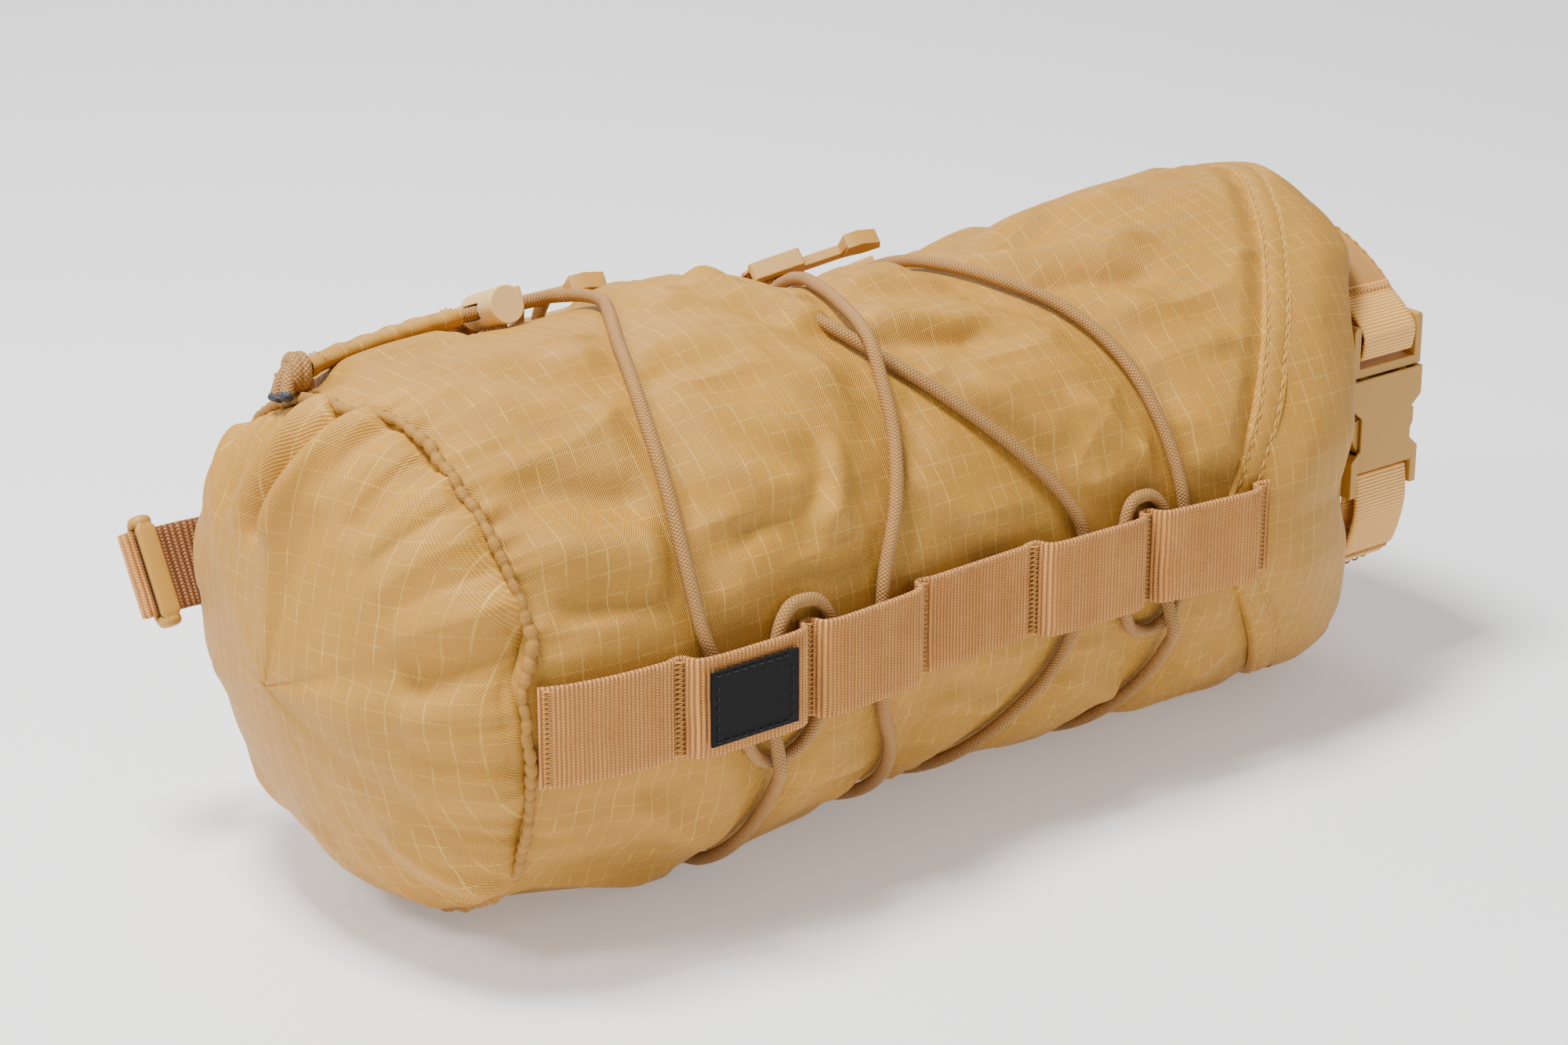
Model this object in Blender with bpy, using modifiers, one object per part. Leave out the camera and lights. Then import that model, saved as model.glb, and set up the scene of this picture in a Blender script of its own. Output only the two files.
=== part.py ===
"""Stuff sack: a stuffed tubular bag with a roll-top mouth, shock-cord lacing and webbing.

The sack lies on its side. X runs along it from the sewn end cap to the rolled mouth, -Y is the
front with the ladder webbing, and Z is up. Shapes are worked out in millimetres in the sack's own
frame, where X = 0 is at the cap seam and the sack's long axis is at Y = Z = 0. world() turns that
frame into metres, with the floor at Z = 0 and the origin at the middle of the base.
"""
import math

import bpy
import bmesh
from mathutils import Matrix, Vector

MM = 0.001
GAP = 0.3                     # clearance between neighbouring pieces

# Placing the sack's frame in the world
SEAM_X = -143.0
AXIS_Y = -2.7
REST_DEPTH = 68.4             # the sack's axis stands this high above the floor

# Body fabric: radius on the upper back and on the lower front, station by station
UPPER_RADII = [(-30, 62), (-5, 63.2), (3, 65.5), (15, 69.0), (30, 70.2), (60, 70.0), (85, 70.6),
               (108, 69.2), (127, 66), (148, 63.7), (165, 62.3), (190, 62.0), (204, 62.4),
               (221, 64.8), (245, 67.4), (266, 69.6), (285, 70.6), (310, 69.5)]
LOWER_RADII = [(-30, 60), (-5, 61.0), (3, 62.5), (15, 65.5), (38, 68.9), (55, 69.8), (80, 69), (110, 66.7),
               (139, 64.8), (158, 65.2), (184, 65.8), (201, 66.6), (230, 69.0), (254, 70.8),
               (280, 70.6), (310, 69.0)]
UPPER_ANGLE = 117             # degrees round the sack: 0 is the front, 90 the top
LACED_DEPTH = 63.9            # the base is drawn up here, so the cord under it clears the floor
LACED_SPAN = (52, 228)
LACED_RAMP = 14
SEGMENTS = 32
FABRIC = 0.8
SEAM_TILT = 7.0
SEAM_FORWARD = 6.3
HEM_LINE = [(0, 219), (15, 229), (45, 252), (75, 277), (95, 291), (120, 296), (180, 297)]
HEM_WIDTH = 9.0
RIM_LINE = [(0, 268), (45, 288), (60, 299), (90, 304), (180, 303)]

# Webbing
WEB_WIDTH = 25.4
WEB_THICK = 1.6
TACK_PITCH = 38.1             # bartack spacing of ladder webbing
FIRST_TACK = 42.0
TACK_COUNT = 6
TAB_WIDTH = 20.0

# Shock cord
CORD_RADIUS = 1.7
CORD_REST = CORD_RADIUS + 0.5  # centre of a cord that lies on the fabric
OVER_PANEL = 1.8
OVER_CORD = 3.9
CORD_STEP = 9.6

# Cord lock and the two straight cords that it grips
LOCK_X = 58.0
LOCK_ANGLE = 112.0
LOCK_RADIUS_AT = 75.0
CORD_ANGLES = (111.85, 114.65)
STRAIGHT_SPAN = (49.5, 74.0)

# Rolled mouth
ROLL_X = (293.0, 317.0)
ROLL_RADII = (44.5, 53.5)
ROLL_CENTRE_Z = 3.5
ROLL_ANGLES = (45.0, 325.0)
CLOSURE_X = 303.5
CLOSURE_Y = -44.5
CLOSURE_BAR_Z = 30.0

COLOURS = {
    "ripstop": ((0.40, 0.27, 0.125), 0.55),
    "contents": ((0.45, 0.42, 0.36), 0.9),
    "webbing": ((0.46, 0.25, 0.10), 0.75),
    "tape": ((0.55, 0.36, 0.20), 0.7),
    "laminate": ((0.30, 0.20, 0.12), 0.6),
    "cord": ((0.40, 0.26, 0.15), 0.7),
    "plastic": ((0.32, 0.22, 0.11), 0.45),
    "label": ((0.02, 0.02, 0.02), 0.8),
    "steel": ((0.6, 0.6, 0.6), 0.3),
}


# ---------------------------------------------------------------- scene and object helpers

def clear_scene():
    for obj in list(bpy.data.objects):
        bpy.data.objects.remove(obj, do_unlink=True)


def new_collection(name):
    collection = bpy.data.collections.new(name)
    bpy.context.scene.collection.children.link(collection)
    return collection


def material(kind, node):
    colour, roughness = COLOURS[kind]
    mat = bpy.data.materials.new(node + "_" + kind)
    mat.use_nodes = True
    shader = mat.node_tree.nodes["Principled BSDF"]
    shader.inputs["Base Color"].default_value = (*colour, 1)
    shader.inputs["Roughness"].default_value = roughness
    shader.inputs["Metallic"].default_value = 1.0 if kind == "steel" else 0.0
    return mat


def add_part(name, data, kind, place=None):
    obj = bpy.data.objects.new(name, data)
    PARTS.objects.link(obj)
    obj.data.materials.append(material(kind, name))
    if place is not None:
        obj.matrix_world = place
    return obj


def add_cutter(name, mesh, place=None):
    obj = bpy.data.objects.new(name, mesh)
    CUTTERS.objects.link(obj)
    obj.hide_render = True
    obj.display_type = "WIRE"
    if place is not None:
        obj.matrix_world = place
    return obj


def boolean(obj, other, operation):
    mod = obj.modifiers.new(operation.lower(), "BOOLEAN")
    mod.operation = operation
    mod.object = other
    mod.solver = "EXACT"


def solidify(obj, thickness, offset=-1.0):
    mod = obj.modifiers.new("thickness", "SOLIDIFY")
    mod.thickness = thickness * MM
    mod.offset = offset
    mod.use_even_offset = True


def smooth(mesh):
    mesh.shade_smooth()
    mesh.set_sharp_from_angle(angle=math.radians(35))


# ---------------------------------------------------------------- the sack's frame and surface

def smooth_value(stations, x):
    """A smooth curve through (position, value) stations."""
    last = len(stations) - 1
    if x <= stations[0][0]:
        return stations[0][1]
    if x >= stations[last][0]:
        return stations[last][1]
    index = max(i for i in range(last) if stations[i][0] <= x)

    def slope(i):
        low, high = stations[max(i - 1, 0)], stations[min(i + 1, last)]
        return (high[1] - low[1]) / (high[0] - low[0])

    (x0, y0), (x1, y1) = stations[index], stations[index + 1]
    span = x1 - x0
    t = (x - x0) / span
    return ((2 * t**3 - 3 * t**2 + 1) * y0 + (t**3 - 2 * t**2 + t) * span * slope(index)
            + (3 * t**2 - 2 * t**3) * y1 + (t**3 - t**2) * span * slope(index + 1))


def world(x, y, z):
    return Vector((SEAM_X + x, AXIS_Y + y, REST_DEPTH + z)) * MM


def body_radius(x, angle):
    upper, lower = smooth_value(UPPER_RADII, x), smooth_value(LOWER_RADII, x)
    return (upper + lower) / 2 + (upper - lower) / 2 * math.cos(math.radians(angle - UPPER_ANGLE))


def ease(t):
    t = min(max(t, 0.0), 1.0)
    return t * t * (3 - 2 * t)


def base_depth(x):
    """How far below the axis the flattened underside lies."""
    into = min(x - LACED_SPAN[0], LACED_SPAN[1] - x) / LACED_RAMP
    return REST_DEPTH + (LACED_DEPTH - REST_DEPTH) * ease(into)


def around(x, angle, radius, depth=1000.0):
    turn = math.radians(angle)
    return world(x, -radius * math.cos(turn), max(radius * math.sin(turn), -depth))


def skin(x, angle, outward=0.0):
    """A point on the body's outer surface, or that far outside it."""
    return around(x, angle, body_radius(x, angle) + outward, base_depth(x) + outward)


def fold(angle):
    """Degrees away from the front, 0 to 180."""
    return abs((angle + 180) % 360 - 180)


def seam_x(angle):
    """Where the round end is sewn on; it reaches further along the upper front."""
    turn = (angle + 180) % 360 - 180
    forward = ease((turn - 8) / 14) * ease((91 - turn) / 17)
    return 4.5 - SEAM_TILT * math.sin(math.radians(angle)) + SEAM_FORWARD * forward


def hem_x(angle):
    return smooth_value(HEM_LINE, fold(angle))


# ---------------------------------------------------------------- mesh builders

def loft_mesh(name, rings, closed_rings=True, cap_start=False, cap_end=False):
    """Skin a row of sections, each a list of points; a section of one point closes to a pole."""
    bm = bmesh.new()
    rows = [[bm.verts.new(point) for point in ring] for ring in rings]
    for low, high in zip(rows, rows[1:]):
        count = max(len(low), len(high))
        for i in range(count if closed_rings else count - 1):
            j = (i + 1) % count
            corners = [low[i % len(low)], low[j % len(low)], high[j % len(high)], high[i % len(high)]]
            bm.faces.new(list(dict.fromkeys(corners)))
    if cap_start:
        bm.faces.new(rows[0])
    if cap_end:
        bm.faces.new(rows[-1])
    bmesh.ops.recalc_face_normals(bm, faces=bm.faces)
    mesh = bpy.data.meshes.new(name)
    bm.to_mesh(mesh)
    bm.free()
    smooth(mesh)
    return mesh


def ring_angles(count=SEGMENTS):
    return [360 * i / count for i in range(count)]


def face_outward(obj, centre):
    """Turn an open surface's faces away from a point inside it."""
    bm = bmesh.new()
    bm.from_mesh(obj.data)
    bm.faces.ensure_lookup_table()
    face = bm.faces[0]
    if face.normal.dot(face.calc_center_median() - centre) < 0:
        bmesh.ops.reverse_faces(bm, faces=bm.faces)
    bm.to_mesh(obj.data)
    bm.free()


def shell(name, rings, kind, thickness, centre):
    obj = add_part(name, loft_mesh(name, rings), kind)
    face_outward(obj, centre)
    solidify(obj, thickness)
    return obj


def ribbon(name, centres, across, width, kind, thickness=WEB_THICK):
    """A flat strap: centre points, and one width direction or one for each point."""
    if isinstance(across, Vector):
        across = [across] * len(centres)
    half = width * MM / 2
    rows = [[c - a.normalized() * half, c + a.normalized() * half] for c, a in zip(centres, across)]
    obj = add_part(name, loft_mesh(name, rows, closed_rings=False), kind)
    solidify(obj, thickness, offset=0.0)
    return obj


def box_mesh(name, low, high):
    bm = bmesh.new()
    bmesh.ops.create_cube(bm, size=1.0)
    low, high = Vector(low) * MM, Vector(high) * MM
    size = high - low
    for vert in bm.verts:
        vert.co = Vector(((low[i] + high[i]) / 2 + vert.co[i] * size[i] for i in range(3)))
    mesh = bpy.data.meshes.new(name)
    bm.to_mesh(mesh)
    bm.free()
    return mesh


def cone_mesh(name, radius_low, radius_high, z_low, z_high, sides=20):
    bm = bmesh.new()
    bmesh.ops.create_cone(bm, cap_ends=True, segments=sides, radius1=radius_low * MM,
                          radius2=radius_high * MM, depth=(z_high - z_low) * MM)
    bmesh.ops.translate(bm, verts=bm.verts, vec=Vector((0, 0, (z_low + z_high) / 2 * MM)))
    mesh = bpy.data.meshes.new(name)
    bm.to_mesh(mesh)
    bm.free()
    smooth(mesh)
    return mesh


def outline_mesh(name, outlines, thickness):
    """A plate from closed outlines in its XY plane; outlines inside the first are holes."""
    curve = bpy.data.curves.new(name + "_outline", "CURVE")
    curve.dimensions = "2D"
    curve.fill_mode = "BOTH"
    curve.extrude = thickness * MM / 2
    for points in outlines:
        spline = curve.splines.new("POLY")
        spline.points.add(len(points) - 1)
        for slot, (x, y) in zip(spline.points, points):
            slot.co = (x * MM, y * MM, 0, 1)
        spline.use_cyclic_u = True
    guide = bpy.data.objects.new(name + "_outline", curve)
    CUTTERS.objects.link(guide)
    bpy.context.view_layer.update()
    mesh = bpy.data.meshes.new_from_object(guide.evaluated_get(bpy.context.evaluated_depsgraph_get()))
    bpy.data.objects.remove(guide, do_unlink=True)
    bm = bmesh.new()
    bm.from_mesh(mesh)
    bmesh.ops.remove_doubles(bm, verts=bm.verts, dist=0.00001)
    bmesh.ops.recalc_face_normals(bm, faces=bm.faces)
    bm.to_mesh(mesh)
    bm.free()
    mesh.materials.clear()
    mesh.name = name
    return mesh


def rounded_rectangle(x0, y0, x1, y1, radius, steps=3):
    points = []
    corners = [(x1 - radius, y1 - radius, 0), (x0 + radius, y1 - radius, 90),
               (x0 + radius, y0 + radius, 180), (x1 - radius, y0 + radius, 270)]
    for cx, cy, start in corners:
        for i in range(steps + 1):
            turn = math.radians(start + 90 * i / steps)
            points.append((cx + radius * math.cos(turn), cy + radius * math.sin(turn)))
    return points


def tube(name, points, radius, kind, resolution=2):
    curve = bpy.data.curves.new(name, "CURVE")
    curve.dimensions = "3D"
    curve.bevel_depth = radius * MM
    curve.bevel_resolution = resolution
    curve.use_fill_caps = True
    spline = curve.splines.new("POLY")
    spline.points.add(len(points) - 1)
    for slot, point in zip(spline.points, points):
        slot.co = (*point, 1)
    return add_part(name, curve, kind)


def frame_at(origin, x_axis, y_axis):
    x_axis, y_axis = x_axis.normalized(), y_axis.normalized()
    z_axis = x_axis.cross(y_axis)
    place = Matrix((x_axis, y_axis, z_axis)).transposed().to_4x4()
    place.translation = origin
    return place


def catmull_rom(points, steps):
    """Points along a smooth curve through the given tuples."""
    out = []
    for i in range(len(points) - 1):
        quad = [points[max(i - 1, 0)], points[i], points[i + 1], points[min(i + 2, len(points) - 1)]]
        for k in range(steps):
            t = k / steps
            out.append(tuple(0.5 * (2 * b + (c - a) * t + (2 * a - 5 * b + 4 * c - d) * t * t
                                    + (3 * b - a - 3 * c + d) * t**3) for a, b, c, d in zip(*quad)))
    out.append(points[-1])
    return out


def evenly_spaced(points, step):
    """Walk a fine line of points and keep one at each step, and both ends."""
    total = sum((b - a).length for a, b in zip(points, points[1:]))
    count = max(2, round(total / step))
    spacing, kept, walked, target = total / count, [points[0]], 0.0, total / count
    for a, b in zip(points, points[1:]):
        length = (b - a).length
        while walked + length >= target and len(kept) < count:
            kept.append(a.lerp(b, (target - walked) / length))
            target += spacing
        walked += length
    return kept + [points[-1]]


# ---------------------------------------------------------------- fabric

def make_body():
    rows = 20
    rings = []
    for i in range(rows + 1):
        share = i / rows
        ring = []
        for angle in ring_angles():
            start, end = seam_x(angle) + 1.5, hem_x(angle) - GAP
            x = start + (end - start) * share
            ring.append(skin(x, angle))
        rings.append(ring)
    shell("body_tube", rings, "ripstop", FABRIC, world(120, 0, 0))


def make_end_cap():
    depths = [(0, 1.0), (6, 0.985), (13, 0.93), (19, 0.80), (23.5, 0.60), (26, 0.32)]
    rings = []
    for depth, share in depths:
        ring = []
        for angle in ring_angles():
            x = seam_x(angle) - 1.5
            ring.append(around(x * share - depth, angle, body_radius(x, angle) * share))
        rings.append(ring)
    rings.append([world(-26.5, 0, 0)])
    shell("end_cap", rings, "ripstop", FABRIC, world(20, 0, 0))


def make_seam_binding():
    """The cap seam's folded edge, a bead that stands a little proud of both fabrics."""
    rings = []
    for angle in ring_angles():
        x = seam_x(angle)
        middle = body_radius(x, angle) + 0.2
        ring = []
        for k in range(6):
            turn = math.tau * k / 6
            ring.append(around(x + 1.1 * math.cos(turn), angle, middle + 1.3 * math.sin(turn)))
        rings.append(ring)
    mesh = loft_mesh("cap_seam_binding", rings + [rings[0]])
    bm = bmesh.new()
    bm.from_mesh(mesh)
    bmesh.ops.remove_doubles(bm, verts=bm.verts, dist=0.00001)
    bmesh.ops.recalc_face_normals(bm, faces=bm.faces)
    bm.to_mesh(mesh)
    bm.free()
    add_part("cap_seam_binding", mesh, "ripstop")


def make_hem_band():
    rings = []
    for share in (0.0, 0.5, 1.0):
        rings.append([skin(hem_x(a) + HEM_WIDTH * share, a) for a in ring_angles()])
    shell("hem_band", rings, "ripstop", 1.4, world(240, 0, 0))


def collar_point(angle, index):
    """Profile of the collar from the hem over the rim and down to the flat behind the roll."""
    t = min(max(fold(angle) - 15, 0) / 70, 1.0)
    t = t * t * (3 - 2 * t)
    hem = hem_x(angle) + HEM_WIDTH + GAP
    rim = max(smooth_value(RIM_LINE, fold(angle)), hem + 3)
    front = [(hem, None), ((hem + rim - 6) / 2, None), (rim - 6, 67.5), (rim, 64.5), (rim + 5, 59),
             (283, 52.5), (288, 46), (288.5, 41), (288.5, 20)]
    side = [(hem, None), ((hem + rim - 1) / 2, None), (rim - 1, 67.8), (rim + 1, 64.5), (rim, 60.5),
            (299, 58), (290, 57), (288.5, 50), (288.5, 20)]
    (xf, rf), (xs, rs) = front[index], side[index]
    x = xf + (xs - xf) * t
    if rf is None:
        return skin(x, angle)
    return around(x, angle, rf + (rs - rf) * t, REST_DEPTH)


def make_collar():
    rings = [[collar_point(angle, i) for angle in ring_angles()] for i in range(9)]
    rings.append([world(288.5, 0, 0)])
    shell("collar", rings, "ripstop", FABRIC, world(260, 0, 0))


def make_contents():
    """The clothing stuffed inside, a soft barrel just clear of the fabric."""
    inset = FABRIC + 1.2
    rings = [[world(-23.5, 0, 0)]]
    for x, share in [(-21, 0.40), (-15, 0.68), (-5, 0.85)]:
        rings.append([around(x + (seam_x(a) - seam_x(0)) * share, a, (body_radius(0, a) - inset) * share)
                      for a in ring_angles(24)])
    for x in (15, 40, 70, 100, 130, 160, 190, 215, 238, 250):
        rings.append([around(x, a, body_radius(x, a) - inset - 1.0, LACED_DEPTH - inset)
                      for a in ring_angles(24)])
    for x, radius in [(264, 55), (277, 44), (285, 28)]:
        rings.append([around(x, a, radius) for a in ring_angles(24)])
    rings.append([world(286.4, 0, 0)])
    add_part("packed_contents", loft_mesh("packed_contents", rings), "contents")


def make_roll():
    """The mouth, rolled up into a strip and bent round into a ring that is open at the front."""
    steps, rings = 30, []
    inner, outer = ROLL_RADII
    half, middle = (outer - inner) / 2, (outer + inner) / 2
    for i in range(steps + 1):
        angle = ROLL_ANGLES[0] + (ROLL_ANGLES[1] - ROLL_ANGLES[0]) * i / steps
        turn = math.radians(angle)
        ring = []
        for x, y in rounded_rectangle(ROLL_X[0], -half, ROLL_X[1], half, 3.0, steps=2):
            radius = middle + y
            ring.append(world(x, -radius * math.cos(turn), ROLL_CENTRE_Z + radius * math.sin(turn)))
        rings.append(ring)
    add_part("roll_closure", loft_mesh("roll_closure", rings, cap_start=True, cap_end=True), "laminate")


# ---------------------------------------------------------------- webbing

def ladder_profile(start, end, raised, low, high):
    """(x, height) of ladder webbing: down at each bartack, up where a cord runs behind it."""
    tacks = [FIRST_TACK + TACK_PITCH * i for i in range(TACK_COUNT)]
    edges = [start] + tacks + [end]
    profile = [(start, low)]
    for index, (a, b) in enumerate(zip(edges, edges[1:])):
        top = high if index in raised else low + 0.8
        first, final = index == 0, index == len(edges) - 2
        if final:
            profile.append((b, low))
            continue
        if not first:
            profile.append((a + 1.4, low))
        profile += [(a + 4.6, top), ((a + b) / 2, top + 0.5), (b - 4.6, top), (b - 1.4, low)]
    return profile


def make_front_webbing():
    low = GAP + WEB_THICK / 2
    high = CORD_REST + CORD_RADIUS + 0.4 + WEB_THICK / 2
    centres = []
    for x, height in ladder_profile(6.4, 235.5, {1, 2, 4, 5}, low, high):
        centres.append(world(x, -(body_radius(x, 0) + height), 0))
    ribbon("front_webbing", centres, Vector((0, 0, 1)), WEB_WIDTH, "webbing")


def make_label():
    x0, x1 = 46.8, 72.8
    height = CORD_REST + CORD_RADIUS + 0.4 + WEB_THICK + 0.9 + 0.5
    centres = [world(x, -(body_radius(x, 0) + height), 0) for x in (x0, (x0 + x1) / 2, x1)]
    ribbon("label_patch", centres, Vector((0, 0, 1)), 19.0, "label", thickness=0.8)


def make_rear_panel():
    """The stiff back panel that the rear webbing is sewn to, with rounded corners."""
    outline = [(7.5, 10), (9, 14), (12, 17.5), (17, 19.5)]
    outline += [(x, 20) for x in range(30, 224, 12)]
    outline += [(225, 19.5), (231, 17), (235, 11)]
    rings = []
    for x, half_angle in outline:
        row = []
        for k in range(-3, 4):
            angle = 180 + half_angle * k / 3
            lift = max(0.0, 69.6 - body_radius(x, 180)) if x < 40 else 0.0
            row.append(skin(x, angle, GAP + 0.1 + lift))
        rings.append(row)
    obj = add_part("rear_panel", loft_mesh("rear_panel", rings, closed_rings=False), "laminate")
    face_outward(obj, world(120, 0, 0))
    solidify(obj, 1.2, offset=1.0)


def make_rear_webbing():
    low = OVER_PANEL + GAP + WEB_THICK / 2
    high = OVER_PANEL + CORD_REST + CORD_RADIUS + 0.4 + WEB_THICK / 2
    centres = []
    for x, height in ladder_profile(30.0, 233.0, {2, 4}, low, high):
        centres.append(world(x, body_radius(x, 180) + height, 0))
    ribbon("rear_webbing", centres, Vector((0, 0, 1)), WEB_WIDTH, "webbing")


STRAP_TILT = Vector((0, 0.5, 0.866))
SLIDER_AT = (-15.9, 71.6, 4.2)
STRAP_WIDTH = 22.0


def make_rear_strap():
    """A strap end sewn to the back panel; it twists as it leaves the sack and ends in a hem."""
    upright = Vector((0, 0, 1))
    centres = [world(22, 73.4, 3), world(8, 72.6, 3.3), world(-2, 72, 3.8), world(-8, 71.6, 4.2),
               world(-19, 71.6, 4.2)]
    twist = [upright, upright.lerp(STRAP_TILT, 0.15), upright.lerp(STRAP_TILT, 0.7), STRAP_TILT, STRAP_TILT]
    ribbon("rear_strap", centres, twist, STRAP_WIDTH, "webbing", thickness=1.4)
    ribbon("rear_strap_hem", [world(-19.4, 71.6, 4.2), world(-22.4, 71.6, 4.2)], STRAP_TILT, STRAP_WIDTH,
           "webbing", thickness=4.2)


def make_slider():
    """The flat slider on the strap: two bars behind it, a broad one in front, and end blocks."""
    place = frame_at(world(*SLIDER_AT), Vector((1, 0, 0)), STRAP_TILT)
    side = STRAP_WIDTH / 2 + 0.5
    plate = box_mesh("strap_slider", (-2.8, -side - 3, -2.9), (2.8, side + 3, -1.1))
    obj = add_part("strap_slider", plate, "plastic", place)
    pieces = [((-3.2, side, -3.0), (3.2, side + 3.2, 3.0)), ((-3.2, -side - 3.2, -3.0), (3.2, -side, 3.0)),
              ((-3.0, -side - 1, 1.1), (-1.1, side + 1, 2.8)), ((1.1, -side - 1, 1.1), (3.0, side + 1, 2.8))]
    for index, (low, high) in enumerate(pieces):
        name = "slider_piece_%d" % index
        boolean(obj, add_cutter(name, box_mesh(name, low, high), place), "UNION")


# ---------------------------------------------------------------- side-release buckles

# Outlines of a 20 mm buckle in its own plane: X across, Y towards the prong tips, bar at Y = 0
MALE_WIDTH = 27.0
MALE_END = 7.4
PRONG_ROOT = (7.75, 7.8)
PRONG = [(6.2, 7.8), (9.3, 7.8), (9.1, 18.4), (12.4, 20.2), (12.4, 24.5), (9.6, 29.6), (6.4, 29.6),
         (5.8, 21.0), (6.2, 17.5)]
PRONG_HEAD = [(8.0, 19.0), (12.4, 20.2), (12.4, 24.5), (9.6, 29.6), (6.4, 29.6), (6.6, 24.0)]
FEMALE = [(13.5, 7.8), (13.5, 16.0), (9.9, 19.2), (9.9, 28.4), (13.2, 31.2), (13.2, 42.0),
          (10.7, 42.0), (10.7, 35.0)]


def make_male(name, place):
    """The male half's frame: arms either side of the bar that its webbing tab turns round."""
    half, inner = MALE_WIDTH / 2, MALE_WIDTH / 2 - 2.6
    edge = [(-half, MALE_END), (half, MALE_END), (half, -6.4), (half - 0.8, -7.4), (inner + 0.4, -7.4),
            (inner, -6.8), (inner, 4.6), (-inner, 4.6), (-inner, -6.8), (-inner - 0.4, -7.4),
            (-half + 0.8, -7.4), (-half, -6.4)]
    obj = add_part(name, outline_mesh(name, [edge], 5.4), "plastic", place)
    bar = box_mesh(name + "_bar", (-inner - 0.6, -1.0, -1.0), (inner + 0.6, 1.0, 1.0))
    boolean(obj, add_cutter(name + "_bar", bar, place), "UNION")


def make_prong(name, place, side):
    """One squeeze arm. Its origin is on its root, where the moulded arm flexes."""
    root_x, root_y = side * PRONG_ROOT[0], PRONG_ROOT[1]
    local = place @ Matrix.Translation(Vector((root_x, root_y, 0)) * MM)

    def outline(points):
        moved = [(side * x - root_x, y - root_y) for x, y in points]
        return moved if side > 0 else moved[::-1]

    obj = add_part(name, outline_mesh(name, [outline(PRONG)], 3.0), "plastic", local)
    head = outline_mesh(name + "_head", [outline(PRONG_HEAD)], 4.6)
    boolean(obj, add_cutter(name + "_head", head, local), "UNION")


def make_female(name, place):
    right = FEMALE
    left = [(-x, y) for x, y in reversed(FEMALE)]
    obj = add_part(name, outline_mesh(name, [right + left], 7.4), "plastic", place)
    cavity = box_mesh(name + "_cavity", (-11.2, 7.0, -2.8), (11.2, 31.0, 2.8))
    bar = box_mesh(name + "_bar", (-11.3, 37.7, -1.0), (11.3, 39.7, 1.0))
    boolean(obj, add_cutter(name + "_cavity", cavity, place), "DIFFERENCE")
    boolean(obj, add_cutter(name + "_bar", bar, place), "UNION")


def make_closure():
    """The 20 mm buckle that joins the roll's two ends, standing upright at the front."""
    place = frame_at(world(CLOSURE_X, CLOSURE_Y, CLOSURE_BAR_Z), Vector((-1, 0, 0)), Vector((0, 0, -1)))
    make_male("closure_buckle_male", place)
    make_prong("closure_prong_left", place, 1)
    make_prong("closure_prong_right", place, -1)
    make_female("closure_buckle_female", place)

    def loop(name, bar_z, path):
        centres = [world(CLOSURE_X, y, z) for y, z in path(bar_z)]
        ribbon(name, centres, Vector((1, 0, 0)), TAB_WIDTH, "tape", thickness=1.2)

    def over_roll(angle):
        radius, turn = ROLL_RADII[1] + GAP + 0.7, math.radians(angle)
        return -radius * math.cos(turn), ROLL_CENTRE_Z + radius * math.sin(turn)

    def upper(bar_z):
        near, far = CLOSURE_Y - 2.3, CLOSURE_Y + 2.3
        return [over_roll(49), over_roll(47.5), over_roll(45.5), (-43.0, 38.9), (near - 0.3, bar_z + 4.6),
                (near, bar_z - 0.6), (CLOSURE_Y - 1.3, bar_z - 2.3), (CLOSURE_Y + 1.3, bar_z - 2.3),
                (far, bar_z - 0.6), (far + 0.3, bar_z + 3.6), (-39.6, 36.2), (-36.8, 36.6)]

    def lower(bar_z):
        near, far = CLOSURE_Y - 2.3, CLOSURE_Y + 2.3
        return [over_roll(-44), over_roll(-40), over_roll(-36), (near - 0.3, bar_z - 9), (near, bar_z + 0.6),
                (CLOSURE_Y - 1.3, bar_z + 2.3), (CLOSURE_Y + 1.3, bar_z + 2.3), (far, bar_z + 0.6),
                (far, bar_z - 7), (-40.6, -22.6)]

    loop("closure_tab_upper", CLOSURE_BAR_Z, upper)
    loop("closure_tab_lower", CLOSURE_BAR_Z - 38.7, lower)


# The bar's centre, the way the prongs point, and the tab's (x, angle, lift) down to the back panel
ATTACHMENTS = {
    "right": {"bar": (170.1, 56.0, 47.7), "pointing": (0.89, -0.374, 0.256),
              "tab": [(156.0, 147, 7.5), (149.0, 153, 5.6), (142.0, 158, 3.1)]},
    "left": {"bar": (78.0, 56.0, 55.5), "pointing": (0.888, -0.408, 0.181),
             "tab": [(66.0, 144, 9.0), (60.0, 150, 6.0), (54.0, 156, 3.1)]},
}


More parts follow.
